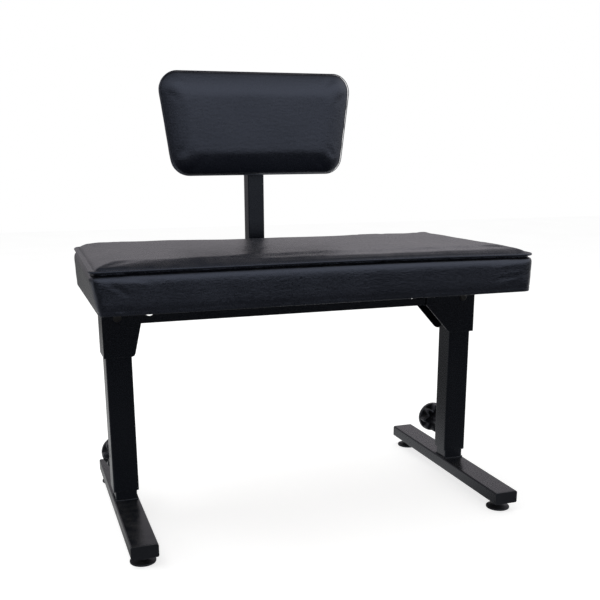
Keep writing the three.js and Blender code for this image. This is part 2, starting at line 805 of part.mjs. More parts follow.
function backScrewPlaces(middleZ) {
  return [-1, 1].flatMap((sideX) =>
    [-1, 1].map((sideZ) => [(sideX * backScrewSpacingX) / 2, middleZ + (sideZ * backScrewSpacingZ) / 2]),
  );
}

function backScrewHoles(places, from, to) {
  return places.map(([x, z]) => rodY(backScrewDiameter / 2 + boltClearance, from, to, x, z));
}

function addBackrest() {
  const plateRear = postSetback - postSize / 2 - gap;
  const boardRear = plateRear - backPlateThickness - gap;
  const boardFront = boardRear - backBoardThickness;
  const middleZ = backFoot + backHeight / 2;
  const places = backScrewPlaces(middleZ);
  const clampZ = socketFoot + backClampAboveFloor;
  const screwTip = postSetback + postSize / 2 + gap;
  const socketRear = postSetback + postSize / 2 + socketClearance + socketWall;
  const armStart = railWidth / 2 + gap;
  const armEnd = postSetback - postSize / 2 - socketClearance - socketWall - gap;
  const arm = boxTube(armWidth, armHeight, armWall, armCorner, armEnd - armStart);
  add(bench, "back_arm", alongY(arm, armStart, 0, armTop - armHeight / 2), powderBlack);
  add(bench, "back_socket", backSocket(), powderBlack);
  add(bench, "back_clamp_screw", clampScrew(0, screwTip, clampZ), zincSteel);
  add(bench, "back_star_knob", starKnob(0, screwTip, socketRear, clampZ), plasticBlack);

  const post = boxTube(postSize, postSize, postWall, postCorner, postLength);
  add(bench, "back_post", post.translate(0, postSetback, postFoot), powderBlack);
  const postTop = postFoot + postLength;
  const plugSize = postSize - 2 * postWall - 2 * gap;
  const plug = roundedBar(plugSize, plugSize, postCorner - postWall / 2, postCapPlug + overrun);
  const cap = roundedBar(postSize, postSize, postCorner, postCapThickness);
  const capParts = [
    cap.translate(0, postSetback, postTop + gap),
    plug.translate(0, postSetback, postTop - postCapPlug + gap),
  ];
  add(bench, "back_post_cap", join(capParts), plasticBlack);

  const plateLow = [-backPlateWidth / 2, plateRear - backPlateThickness, middleZ - backPlateHeight / 2];
  const plateHigh = [backPlateWidth / 2, plateRear, middleZ + backPlateHeight / 2];
  const plateHoles = backScrewHoles(places, plateRear - backPlateThickness - overrun, plateRear + overrun);
  add(bench, "back_plate", cut(block(plateLow, plateHigh), plateHoles), powderBlack);

  const headFront = plateRear + gap;
  places.forEach(([x, z], index) => {
    const screw = join([
      rodY(backScrewDiameter / 2, headFront - backScrewLength, headFront + overrun, x, z),
      rodY(backScrewHeadDiameter / 2, headFront, headFront + backScrewHeadHeight, x, z),
    ]);
    add(bench, `back_screw_${index + 1}`, screw, blackSteel);
  });

  const sideSteps = [cushionSideSteps, cushionEndSteps];
  const boardCorner = backCorner - backBoardMargin;
  const boardOutline = roundedOutline(backCorners(backBoardMargin), boardCorner, sideSteps);
  const board = ringSolid(
    [0, backBoardThickness].map((height) =>
      boardOutline.map(({ point }) => new THREE.Vector3(point.x, point.y, height)),
    ),
  );
  const boardHoles = backScrewHoles(places, boardFront - overrun, boardRear + overrun);
  add(bench, "backrest_board", cut(standUp(board, boardRear), boardHoles), plywood);

  const recessMargin = backBoardMargin - gap;
  const pad = cushion({
    outline: roundedOutline(backCorners(0), backCorner, sideSteps),
    recess: roundedOutline(backCorners(recessMargin), backCorner - recessMargin, sideSteps),
    hem: 0,
    recessRoof: backBoardThickness + gap,
    seam: backSideDepth,
    pipe: 0,
    crown: backCrown,
    bulge: backBulge,
    tuck: backTuck,
  });
  add(bench, "backrest_cushion", standUp(pad, boardRear), vinylBlack);
}

addSeat();
addLeg(-1);
addLeg(1);
addBackrest();

// The origin lies on the floor under the middle of the whole bench
const extent = new THREE.Box3().setFromObject(bench);
const middle = extent.getCenter(new THREE.Vector3());
bench.position.set(-middle.x, -middle.y, -extent.min.z);

export default bench;
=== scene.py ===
"""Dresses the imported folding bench: upholstery, coated tubes, star knobs, feet and a pale studio."""

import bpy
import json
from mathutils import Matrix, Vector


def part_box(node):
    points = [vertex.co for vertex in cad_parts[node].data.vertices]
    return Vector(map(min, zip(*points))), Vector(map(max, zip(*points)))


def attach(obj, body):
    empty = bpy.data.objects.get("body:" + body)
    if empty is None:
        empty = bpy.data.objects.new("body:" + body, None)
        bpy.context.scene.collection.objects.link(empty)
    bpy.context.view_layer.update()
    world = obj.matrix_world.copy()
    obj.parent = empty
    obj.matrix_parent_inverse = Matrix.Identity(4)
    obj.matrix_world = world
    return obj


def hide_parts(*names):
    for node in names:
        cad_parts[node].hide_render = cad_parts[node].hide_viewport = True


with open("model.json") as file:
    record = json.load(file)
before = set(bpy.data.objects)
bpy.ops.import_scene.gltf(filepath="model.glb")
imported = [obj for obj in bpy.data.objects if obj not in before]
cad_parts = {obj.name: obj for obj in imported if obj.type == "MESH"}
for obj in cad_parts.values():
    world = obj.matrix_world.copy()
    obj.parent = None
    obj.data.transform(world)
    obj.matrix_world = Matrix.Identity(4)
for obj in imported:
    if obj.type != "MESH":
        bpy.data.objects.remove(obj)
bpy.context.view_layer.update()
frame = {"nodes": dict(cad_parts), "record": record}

import json
import math

import bmesh
import bpy
import numpy as np
from bpy.props import FloatProperty, FloatVectorProperty, IntProperty, PointerProperty
from mathutils import Matrix, Vector

bl_info = {
    "name": "Folding Keyboard Bench",
    "version": (1, 0, 0),
    "blender": (4, 5, 0),
    "location": "View3D > Sidebar > Bench",
    "description": "Upholstery, coated tubes, star knobs and feet for the folding keyboard bench",
    "category": "Object",
}

MM = 0.001
SIDES = {"left": -1, "right": 1}
ENDS = {"front": -1, "rear": 1}

# Places in the shared frame
LEG_X = 293.7 * MM
LEG_Y = -59.3 * MM
POST_Y = 180.7 * MM
PIVOT_Z = 331 * MM
LOCK_Z = 291 * MM
LEG_CLAMP_Z = 89 * MM
POST_CLAMP_Z = 366 * MM
SEAT_HALF = np.array([334, 170]) * MM
SEAT_HEM = 358.9 * MM
SEAT_SEAM = 418.6 * MM
BACK_REAR = 162.1 * MM
BACK_SEAM = 128.1 * MM


# Sizes and colours a user may change


class BenchUpholstery(bpy.types.PropertyGroup):
    """Shape of the padded parts"""

    crown: FloatProperty(
        name="Seat crown", description="Height of the seat's flat top above its seam",
        default=7.3 * MM, min=0, unit="LENGTH")
    roll: FloatProperty(
        name="Seat roll", description="Width of the rolled border round the seat's top",
        default=22 * MM, min=MM, unit="LENGTH")
    corner: FloatProperty(
        name="Seat corner", description="Radius of the seat's front left corner, the tightest",
        default=8 * MM, min=MM, unit="LENGTH")
    piping: FloatProperty(
        name="Piping radius", description="Radius of the welt sewn round the seat's top",
        default=2.0 * MM, min=0.5 * MM, unit="LENGTH")
    back_crown: FloatProperty(
        name="Back crown", description="Height of the backrest's flat middle over its seam",
        default=12.5 * MM, min=0, unit="LENGTH")
    back_roll: FloatProperty(
        name="Back roll", description="Width of the rolled border of the backrest",
        default=36 * MM, min=MM, unit="LENGTH")
    voxel: FloatProperty(
        name="Mesh size", description="Size of the faces that the pads are simulated with",
        default=4.4 * MM, min=2 * MM, unit="LENGTH")
    pressure: FloatProperty(
        name="Pressure", description="Pressure that swells the pads", default=4.0, min=0)


class BenchHardware(bpy.types.PropertyGroup):
    """Shape of the star knobs"""

    lobes: IntProperty(
        name="Knob lobes", description="Number of lobes round a star knob", default=8, min=3)
    grip: FloatProperty(
        name="Knob radius", description="Radius of a star knob's grip over its lobes",
        default=26.2 * MM, min=20 * MM, unit="LENGTH")


class BenchFinishes(bpy.types.PropertyGroup):
    """Base colours of the finishes"""

    coat: FloatVectorProperty(
        name="Powder coat", description="Colour of the coated steel", subtype="COLOR",
        default=(0.0022, 0.0026, 0.0040), min=0, max=1)
    vinyl: FloatVectorProperty(
        name="Vinyl", description="Colour of the upholstery", subtype="COLOR",
        default=(0.0062, 0.0070, 0.0102), min=0, max=1)
    plastic: FloatVectorProperty(
        name="Plastic", description="Colour of the knobs and plugs", subtype="COLOR",
        default=(0.0045, 0.0045, 0.0055), min=0, max=1)
    foot: FloatVectorProperty(
        name="Feet", description="Colour of the levelling feet", subtype="COLOR",
        default=(0.0065, 0.0065, 0.0075), min=0, max=1)


class BenchStudio(bpy.types.PropertyGroup):
    """Light of the studio"""

    top_light: FloatProperty(
        name="Top light", description="Power of the soft light overhead",
        default=30.0, min=0, subtype="POWER")
    side_light: FloatProperty(
        name="Side light", description="Power of the soft light on the left",
        default=16.0, min=0, subtype="POWER")
    surround: FloatProperty(
        name="Surround", description="Strength of the even light all round", default=0.5, min=0)


# Surfaces

SHARP_ANGLE = math.radians(38)
LEAST_CORNER = 0.2 * MM


def rounded_section(width, height, radius, arc_steps=6, flat_steps=1):
    """Rounded rectangle: four quarter circles, with evenly spaced points on the flats between."""
    quarter = np.linspace(0, np.pi / 2, arc_steps + 1)
    angle = np.arange(4)[:, None] * np.pi / 2 + quarter
    sign = np.array([[1, 1], [-1, 1], [-1, -1], [1, -1]])
    centre = sign * (np.array([width, height]) / 2 - radius)
    arcs = centre[:, None] + radius * np.stack([np.cos(angle), np.sin(angle)], -1)
    share = np.linspace(0, 1, flat_steps + 1)[1:-1, None]
    after = np.roll(arcs[:, 0], -1, axis=0)[:, None]
    flats = arcs[:, -1:] * (1 - share) + after * share
    return np.concatenate([arcs, flats], axis=1).reshape(-1, 2)


def placed(section, along, axis, centre):
    """Puts section points (a, b) and their distance along the axis into x, y, z."""
    a, b = section[..., 0], section[..., 1]
    order = {"X": (along, a, b), "Y": (a, along, b), "Z": (a, b, along)}[axis]
    return np.stack(np.broadcast_arrays(*order), -1) + np.asarray(centre)


def loft(rows, axis, centre, flat_steps=1):
    """Surface through rounded rectangles: each row gives width, height, corner radius and how
    far along the axis that rectangle lies."""
    sections = [rounded_section(w, h, max(r, LEAST_CORNER), flat_steps=flat_steps)
                for w, h, r, _ in rows]
    along = np.array([row[3] for row in rows])[:, None]
    return placed(np.array(sections), along, axis, centre)


def turned(radius, along, axis, centre, columns=48):
    """Surface of revolution: at angle t the section is (r cos t, r sin t), with a radius and a
    distance along the axis for each row, and for each column where these are two-dimensional."""
    t = np.linspace(0, 2 * np.pi, columns, endpoint=False)
    radius = np.atleast_2d(np.asarray(radius, float).T).T
    along = np.atleast_2d(np.asarray(along, float).T).T
    section = np.stack([radius * np.cos(t), radius * np.sin(t)], -1)
    return placed(section, np.broadcast_to(along, section.shape[:2]), axis, centre)


def swept(path, normal, radius, sides):
    """Round tube along a closed path: each point carries a circle of its own radius, spanned by
    its outward normal and the up direction."""
    t = np.linspace(0, 2 * np.pi, sides, endpoint=False)
    out = normal[:, None] * np.cos(t)[None, :, None]
    up = np.array([0, 0, 1.0]) * np.sin(t)[:, None]
    return path[:, None] + radius[:, None, None] * (out + up)


def rounded_loop(corners, radius, count, inset=0.0):
    """Convex polygon with rounded corners, moved in by an inset, as evenly spaced points and
    their outward normals: each corner is the arc that touches both of its sides, and the whole
    line is then divided into equal lengths."""
    arc_points = 17
    least_left = 2 * MM
    corners = np.asarray(corners, float)
    radius = np.maximum(radius, inset + least_left) * np.ones(len(corners))
    arrive = corners - np.roll(corners, 1, axis=0)
    arrive /= np.linalg.norm(arrive, axis=1)[:, None]
    leave = np.roll(arrive, -1, axis=0)
    turn = np.arccos((arrive * leave).sum(1))
    normal = np.stack([arrive[:, 1], -arrive[:, 0]], 1)
    centre = corners - arrive * (radius * np.tan(turn / 2))[:, None] - normal * radius[:, None]
    start = np.arctan2(normal[:, 1], normal[:, 0])
    angle = start[:, None] + turn[:, None] * np.linspace(0, 1, arc_points)
    normals = np.stack([np.cos(angle), np.sin(angle)], -1)
    line = (centre[:, None] + (radius - inset)[:, None, None] * normals).reshape(-1, 2)
    line = np.vstack([line, line[:1]])
    normals = np.vstack([normals.reshape(-1, 2), normals[0, :1]])
    length = np.append(0, np.cumsum(np.linalg.norm(np.diff(line, axis=0), axis=1)))
    at = np.linspace(0, length[-1], count, endpoint=False)
    points = np.stack([np.interp(at, length, line[:, k]) for k in (0, 1)], 1)
    directions = np.stack([np.interp(at, length, normals[:, k]) for k in (0, 1)], 1)
    return points, directions / np.linalg.norm(directions, axis=1)[:, None]


def inside_distance(points, corners, radius):
    """How far points lie inside a rounded convex polygon: the radius less the length of the
    parts by which they pass the sides moved in by that radius."""
    corners = np.asarray(corners, float)
    sides = np.roll(corners, -1, axis=0) - corners
    normal = np.stack([sides[:, 1], -sides[:, 0]], 1)
    normal /= np.linalg.norm(normal, axis=1)[:, None]
    past = points @ normal.T - (corners * normal).sum(1) + radius
    outer = np.linalg.norm(np.maximum(past, 0), axis=-1)
    return radius - outer - np.minimum(past.max(-1), 0)


def rolled(distance, width):
    """Rise of an upholstered border: steep at the seam, level once a width away from it."""
    return 1 - (1 - np.clip(distance / width, 0, 1)) ** 2.3


def piece(name, grids, body, slot, replaces=(), weighted=True):
    """Makes one object from grids of points. Each grid is (points, kind): ring joins the last
    row to the first, open closes both ends with a face, and pole leaves the ends as they are."""
    points, faces, offset = [], [], 0
    for grid, kind in grids:
        rows, columns = grid.shape[:2]
        r = np.arange(rows if kind == "ring" else rows - 1)[:, None]
        c = np.arange(columns)[None]
        corners = [(r, c), (r, c + 1), (r + 1, c + 1), (r + 1, c)]
        quads = np.stack([(a % rows) * columns + b % columns for a, b in corners], -1)
        faces += (quads.reshape(-1, 4) + offset).tolist()
        if kind == "open":
            last = offset + (rows - 1) * columns
            faces.append(list(range(offset, offset + columns)))
            faces.append(list(range(last, last + columns)))
        points.append(grid.reshape(-1, 3))
        offset += rows * columns
    mesh = bpy.data.meshes.new(name)
    mesh.from_pydata(np.concatenate(points).tolist(), [], faces)
    clean(mesh)
    made = bpy.data.objects.new(name, mesh)
    bpy.context.scene.collection.objects.link(made)
    if weighted:
        made.modifiers.new("Even shading", "WEIGHTED_NORMAL").keep_sharp = True
    dress(made, body, slot, replaces)
    return made


def clean(mesh):
    """Merges doubled points, drops empty faces and turns all faces outwards."""
    build = bmesh.new()
    build.from_mesh(mesh)
    bmesh.ops.remove_doubles(build, verts=build.verts, dist=2e-6)
    bmesh.ops.dissolve_degenerate(build, edges=build.edges, dist=1e-7)
    bmesh.ops.recalc_face_normals(build, faces=build.faces)
    build.to_mesh(mesh)
    build.free()
    mesh.shade_smooth()
    mesh.set_sharp_from_angle(angle=SHARP_ANGLE)


def dress(made, body, slot, replaces=()):
    """Gives a piece the finish of its slot, puts it under its body, and hides the nodes that it stands
    for.
    """
    made.data.materials.clear()
    made.data.materials.append(finish(slot))
    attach(made, body)
    if replaces:
        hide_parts(*replaces)


def settle(made):
    """Makes a piece's modifiers part of its mesh."""
    graph = bpy.context.evaluated_depsgraph_get()
    mesh = bpy.data.meshes.new_from_object(made.evaluated_get(graph))
    old = made.data
    made.modifiers.clear()
    made.data = mesh
    bpy.data.meshes.remove(old)


def read_vectors(mesh, name):
    """Places or normals of a mesh's points as one array."""
    flat = np.empty(len(mesh.vertices) * 3)
    mesh.vertices.foreach_get(name, flat)
    return flat.reshape(-1, 3)


def set_places(mesh, points):
    """Moves a mesh's points to new places."""
    mesh.vertices.foreach_set("co", points.ravel())
    mesh.update()


# Nodes and shared effects


def put(made, values):
    """Sets a node's inputs, or links them where the value is a socket."""
    for key, value in values.items():
        if isinstance(value, bpy.types.NodeSocket):
            made.id_data.links.new(value, made.inputs[key])
        else:
            made.inputs[key].default_value = value
    return made


def new_node(tree, kind, values=None, **settings):
    """Adds a node with its options and its inputs."""
    made = tree.nodes.new(kind)
    for key, value in settings.items():
        setattr(made, key, value)
    return put(made, values or {})


def math_node(tree, operation, first, second=0.5):
    """One sum, product or comparison of two values."""
    values = {0: first, 1: second}
    return new_node(tree, "ShaderNodeMath", values, operation=operation).outputs[0]


def times(tree, first, second):
    """Product of two values."""
    return math_node(tree, "MULTIPLY", first, second)


def ramp(tree, value, low, high, out_low=0.0, out_high=1.0):
    """Takes a value from one range to another, held level past both ends."""
    values = {"Value": value, "From Min": low, "From Max": high,
              "To Min": out_low, "To Max": out_high}
    return new_node(tree, "ShaderNodeMapRange", values).outputs["Result"]


def mixed(tree, share, first, second):
    """Mixes two colours by a share."""
    values = {"Factor": share, "A": first, "B": second}
    made = new_node(tree, "ShaderNodeMix", data_type="RGBA")
    for socket in made.inputs:
        if socket.name in values and socket.type in ("RGBA", "VALUE") and socket.enabled:
            value = values[socket.name]
            if isinstance(value, bpy.types.NodeSocket):
                tree.links.new(value, socket)
            else:
                socket.default_value = value if socket.type == "VALUE" else (*value[:3], 1)
    return next(s for s in made.outputs if s.type == "RGBA" and s.enabled)


def object_place(tree):
    """Coordinates that are fixed to the piece."""
    return new_node(tree, "ShaderNodeTexCoord").outputs["Object"]


def noise(tree, place, scale, detail, distortion=0.0):
    """Cloudy pattern, as its outputs Fac and Color."""
    values = {"Vector": place, "Scale": scale, "Detail": detail, "Distortion": distortion}
    return new_node(tree, "ShaderNodeTexNoise", values).outputs


def stretched(tree, place, scale):
    """Coordinates scaled by their own amount in each direction."""
    return new_node(tree, "ShaderNodeMapping", {"Vector": place, "Scale": scale}).outputs[0]


def new_group(name, inputs, outputs):
    """Empty shader group with named sockets: inputs as (name, type, default)."""
    tree = bpy.data.node_groups.new(name, "ShaderNodeTree")
    for label, kind, default in inputs:
        socket = tree.interface.new_socket(name=label, in_out="INPUT", socket_type=kind)
        socket.default_value = default
    for label, kind in outputs:
        tree.interface.new_socket(name=label, in_out="OUTPUT", socket_type=kind)
    given = tree.nodes.new("NodeGroupInput").outputs
    return tree, given, tree.nodes.new("NodeGroupOutput").inputs


def mottle_group():
    """Slow change of colour: a cloud lightens and darkens the base colour."""
    tree, given, out = new_group(
        "Mottle",
        [("Color", "NodeSocketColor", (1, 1, 1, 1)), ("Scale", "NodeSocketFloat", 30.0),
         ("Amount", "NodeSocketFloat", 0.3)],
        [("Color", "NodeSocketColor"), ("Cloud", "NodeSocketFloat")])
    cloud = ramp(tree, noise(tree, object_place(tree), given["Scale"], 3.0)["Fac"], 0.3, 0.7)
    lift = times(tree, math_node(tree, "SUBTRACT", cloud, 0.5), given["Amount"])
    values = {"Color": given["Color"], "Value": math_node(tree, "ADD", lift, 1.0)}
    made = new_node(tree, "ShaderNodeHueSaturation", values)
    tree.links.new(made.outputs[0], out["Color"])
    tree.links.new(cloud, out["Cloud"])
    return tree


def grain_group():
    """Fine even grain: two sizes of noise added, as a height and as a mask."""
    tree, given, out = new_group(
        "Fine Grain", [("Scale", "NodeSocketFloat", 800.0), ("Fine", "NodeSocketFloat", 2.4)],
        [("Height", "NodeSocketFloat"), ("Mask", "NodeSocketFloat")])
    place = object_place(tree)
    coarse = noise(tree, place, given["Scale"], 2.0)["Fac"]
    fine = noise(tree, place, times(tree, given["Scale"], given["Fine"]), 1.0)["Fac"]
    both = math_node(tree, "ADD", coarse, times(tree, fine, 0.5))
    tree.links.new(both, out["Height"])
    tree.links.new(ramp(tree, both, 0.6, 0.9), out["Mask"])
    return tree


def edge_wear_and_highlight_group():
    """Lighter edges, as rubbed wear and, on the powder coat, as a painted highlight: where the rounded
    normal leaves the true one, broken up by noise.
    """
    tree, given, out = new_group(
        "Edge Wear and Highlight", [("Width", "NodeSocketFloat", 0.0012), ("Amount", "NodeSocketFloat", 0.5)],
        [("Mask", "NodeSocketFloat")])
    true = new_node(tree, "ShaderNodeNewGeometry").outputs["Normal"]
    soft = new_node(tree, "ShaderNodeBevel", {"Radius": given["Width"]}, samples=4).outputs[0]
    dot = new_node(tree, "ShaderNodeVectorMath", {0: true, 1: soft}, operation="DOT_PRODUCT")
    edge = ramp(tree, dot.outputs["Value"], 0.995, 0.9)
    patches = ramp(tree, noise(tree, object_place(tree), 160.0, 4.0)["Fac"], 0.4, 0.62)
    tree.links.new(times(tree, times(tree, edge, patches), given["Amount"]), out["Mask"])
    return tree


def dust_group():
    """Thin dust: settles on faces that look up, thicker in slow patches."""
    tree, given, out = new_group(
        "Dust", [("Amount", "NodeSocketFloat", 0.1)], [("Mask", "NodeSocketFloat")])
    normal = new_node(tree, "ShaderNodeNewGeometry").outputs["Normal"]
    up = new_node(tree, "ShaderNodeSeparateXYZ", {"Vector": normal}).outputs["Z"]
    patches = ramp(tree, noise(tree, object_place(tree), 60.0, 6.0)["Fac"], 0.35, 0.7)
    settled = times(tree, ramp(tree, up, 0.4, 1.0), patches)
    tree.links.new(times(tree, settled, given["Amount"]), out["Mask"])
    return tree


def pebble_group():
    """Pebbled vinyl grain: small rounded cells with creases between them, over a finer skin and
    a stretched weave that lets reflections spread along the seat."""
    tree, given, out = new_group(
        "Pebble Grain", [("Scale", "NodeSocketFloat", 520.0)],
        [("Height", "NodeSocketFloat"), ("Crease", "NodeSocketFloat")])
    place = object_place(tree)
    bend = noise(tree, place, 180.0, 2.0)["Color"]
    shift = new_node(tree, "ShaderNodeVectorMath", {0: bend, 1: (0.0016,) * 3},
                     operation="MULTIPLY").outputs[0]
    warped = new_node(tree, "ShaderNodeVectorMath", {0: place, 1: shift},
                      operation="ADD").outputs[0]
    cells = new_node(tree, "ShaderNodeTexVoronoi",
                     {"Vector": warped, "Scale": given["Scale"], "Randomness": 0.9},
                     feature="DISTANCE_TO_EDGE")
    pebble = ramp(tree, cells.outputs["Distance"], 0.0, 0.22)
    skin = times(tree, noise(tree, place, 1600.0, 2.0)["Fac"], 0.35)
    drawn = stretched(tree, place, (100.0, 300.0, 300.0))
    weave = times(tree, noise(tree, drawn, 1.0, 3.0)["Fac"], 3.4)
    fine = math_node(tree, "ADD", skin, weave)
    tree.links.new(math_node(tree, "ADD", pebble, fine), out["Height"])
    tree.links.new(math_node(tree, "SUBTRACT", 1.0, pebble), out["Crease"])
    return tree


GROUPS = {"Mottle": mottle_group, "Fine Grain": grain_group, "Edge Wear and Highlight": edge_wear_and_highlight_group,
          "Dust": dust_group, "Pebble Grain": pebble_group}


def use_group(tree, name, **values):
    """Places a shared group, building it the first time."""
    made = tree.nodes.new("ShaderNodeGroup")
    made.node_tree = bpy.data.node_groups.get(name) or GROUPS[name]()
    return put(made, values).outputs


# Finishes


def shader_of(name):
    """New material with its nodes and the shader that they feed."""
    material = bpy.data.materials.new(name)
    material.use_nodes = True
    tree = material.node_tree
    return material, tree, tree.nodes["Principled BSDF"]


def bump(tree, shader, height, distance, strength):
    """Bump node that feeds the shader's normal."""
    values = {"Height": height, "Distance": distance, "Strength": strength}
    made = new_node(tree, "ShaderNodeBump", values)
    tree.links.new(made.outputs["Normal"], shader.inputs["Normal"])


def coated_steel(name, colour):
    """Satin powder coat: cloudy black, orange-peel bumps, lighter edges that are partly rubbed wear
    and partly a painted highlight, thin dust.
    """
    material, tree, shader = shader_of(name)
    cloud = use_group(tree, "Mottle", Color=(*colour, 1), Scale=14.0, Amount=0.35)
    grain = use_group(tree, "Fine Grain", Scale=1000.0, Fine=2.2)
    # edge mask: rubbed wear, and a painted highlight along the sheet edges
    edge_wear_and_highlight = use_group(tree, "Edge Wear and Highlight", Width=0.0011, Amount=0.4)
    dust = use_group(tree, "Dust", Amount=0.05)
    lighter = [c * 1.5 for c in colour]
    speckle = mixed(tree, times(tree, grain["Mask"], 0.4), cloud["Color"], lighter)
    # lighter edge colour: partly rubbed wear, partly a painted highlight on the edges
    worn_and_highlit = mixed(tree, edge_wear_and_highlight["Mask"], speckle, (0.15, 0.15, 0.16))
    put(shader, {
        "Base Color": mixed(tree, dust["Mask"], worn_and_highlit, (0.32, 0.31, 0.29)),
        "Roughness": ramp(tree, grain["Mask"], 0.0, 1.0, 0.31, 0.19),
        "Specular IOR Level": 0.3,
        "Specular Tint": (0.74, 0.82, 1.0, 1.0)})
    bump(tree, shader, grain["Height"], 0.00008, 0.45)
    return material


def padded_vinyl(name, colour):
    """Soft black vinyl: pebbled grain with painted shade in its creases, slow sheen changes from
    handling, faint dust on top.
    """
    material, tree, shader = shader_of(name)
    cloud = use_group(tree, "Mottle", Color=(*colour, 1), Scale=9.0, Amount=0.3)
    grain = use_group(tree, "Pebble Grain", Scale=520.0)
    dust = use_group(tree, "Dust", Amount=0.045)
    # painted shade: the grain's creases are darkened in the base colour
    crease_shade_colour = [c * 0.45 for c in colour]
    crease_shaded = mixed(tree, times(tree, grain["Crease"], 0.6), cloud["Color"], crease_shade_colour)
    shine = ramp(tree, cloud["Cloud"], 0.0, 1.0, 0.19, 0.25)
    put(shader, {
        "Base Color": mixed(tree, dust["Mask"], crease_shaded, (0.34, 0.32, 0.3)),
        "Roughness": math_node(tree, "ADD", shine, times(tree, grain["Crease"], 0.08)),
        "Specular IOR Level": 0.6,
        "Specular Tint": (0.68, 0.76, 1.0, 1.0)})
    bump(tree, shader, grain["Height"], 0.00009, 0.8)
    return material


def moulded(name, colour, rough):
    """Moulded plastic: fine spark-eroded grain, slightly shinier where it is handled."""
    material, tree, shader = shader_of(name)
    cloud = use_group(tree, "Mottle", Color=(*colour, 1), Scale=35.0, Amount=0.3)
    grain = use_group(tree, "Fine Grain", Scale=900.0, Fine=2.0)
    edge_wear_and_highlight = use_group(tree, "Edge Wear and Highlight", Width=0.0009, Amount=0.25)
    dust = use_group(tree, "Dust", Amount=0.05)
    worn_and_highlit = mixed(tree, edge_wear_and_highlight["Mask"], cloud["Color"], (0.06, 0.06, 0.062))
    put(shader, {
        "Base Color": mixed(tree, dust["Mask"], worn_and_highlit, (0.3, 0.29, 0.28)),
        "Roughness": ramp(tree, cloud["Cloud"], 0.0, 1.0, rough - 0.05, rough + 0.08),
        "Specular IOR Level": 0.5,
        "Specular Tint": (0.78, 0.84, 1.0, 1.0)})
    bump(tree, shader, grain["Height"], 0.00006, 0.5)
    return material


def plated_steel(name, colour, rough, metallic, rubbed):
    """Plated or blacked steel: cloudy tint, fine drawing marks, brighter rubbed edges."""
    material, tree, shader = shader_of(name)
    cloud = use_group(tree, "Mottle", Color=(*colour, 1), Scale=60.0, Amount=0.35)
    grain = use_group(tree, "Fine Grain", Scale=1100.0, Fine=3.0)
    edge_wear_and_highlight = use_group(tree, "Edge Wear and Highlight", Width=0.0007, Amount=rubbed)
    bright = [min(1, c * 1.6 + 0.05) for c in colour]
    put(shader, {
        "Base Color": mixed(tree, edge_wear_and_highlight["Mask"], cloud["Color"], bright),
        "Roughness": ramp(tree, grain["Mask"], 0.0, 1.0, rough - 0.06, rough + 0.1),
        "Metallic": metallic})
    bump(tree, shader, grain["Height"], 0.00004, 0.4)
    return material


def plain_plywood(name):
    """Sanded plywood: long wavy figure across the sheet, pores along it."""
    material, tree, shader = shader_of(name)
    place = object_place(tree)
    figure = noise(tree, stretched(tree, place, (2.0, 22.0, 22.0)), 6.0, 6.0, 0.6)["Fac"]
    pores = noise(tree, stretched(tree, place, (60.0, 900.0, 900.0)), 1.0, 2.0)["Fac"]
    streaks = ramp(tree, figure, 0.35, 0.65)
    base = mixed(tree, streaks, (0.52, 0.35, 0.19), (0.36, 0.22, 0.11))
    dark = times(tree, ramp(tree, pores, 0.55, 0.72), 0.35)
    put(shader, {
        "Base Color": mixed(tree, dark, base, (0.2, 0.12, 0.06)),
        "Roughness": ramp(tree, figure, 0.3, 0.7, 0.6, 0.78)})
    bump(tree, shader, pores, 0.0001, 0.4)
    return material


def finish(slot):
    """The material of a slot, built the first time that it is asked for."""
    name = "bench_" + slot
    colours = bpy.context.scene.bench_finishes
    makers = {
        "black_powder_coat": lambda: coated_steel(name, colours.coat),
        "black_vinyl": lambda: padded_vinyl(name, colours.vinyl),
        "black_plastic": lambda: moulded(name, colours.plastic, 0.34),
        "foot_plastic": lambda: moulded(name, colours.foot, 0.5),
        "zinc_steel": lambda: plated_steel(name, (0.56, 0.57, 0.58), 0.34, 1.0, 0.6),
        "black_steel": lambda: plated_steel(name, (0.007, 0.007, 0.008), 0.45, 0.3, 0.15),
        "plywood": lambda: plain_plywood(name),
    }
    return bpy.data.materials.get(name) or makers[slot]()


# Padded parts in general


def bump_at(points, place, reach):
    """Round hump that is 1 at a place and fades over a reach in each direction."""
    return np.exp(-(((points - np.array(place)) / np.array(reach)) ** 2).sum(-1))


def crease(points, start, end, width, depth):
    """Soft fold along a line: a valley of the given width that fades at both ends, with a
    lower ridge on each side."""
    start, end = np.array(start) * MM, np.array(end) * MM
    line = end - start
    along = np.clip(((points - start) @ line) / (line @ line), 0, 1)
    away = np.linalg.norm(points - start - along[:, None] * line, axis=1) / (width * MM)
    fade = np.sin(np.pi * np.clip(along, 0.02, 0.98)) ** 0.8
    return depth * MM * fade * np.exp(-away ** 2) * (1.4 * away ** 2 - 1)


def push(made, field):
    """Moves the points of a padded piece along their normals by a field of their places."""
    points = read_vectors(made.data, "co")
    normals = read_vectors(made.data, "normal")
    set_places(made.data, points + normals * field(points, normals)[:, None])


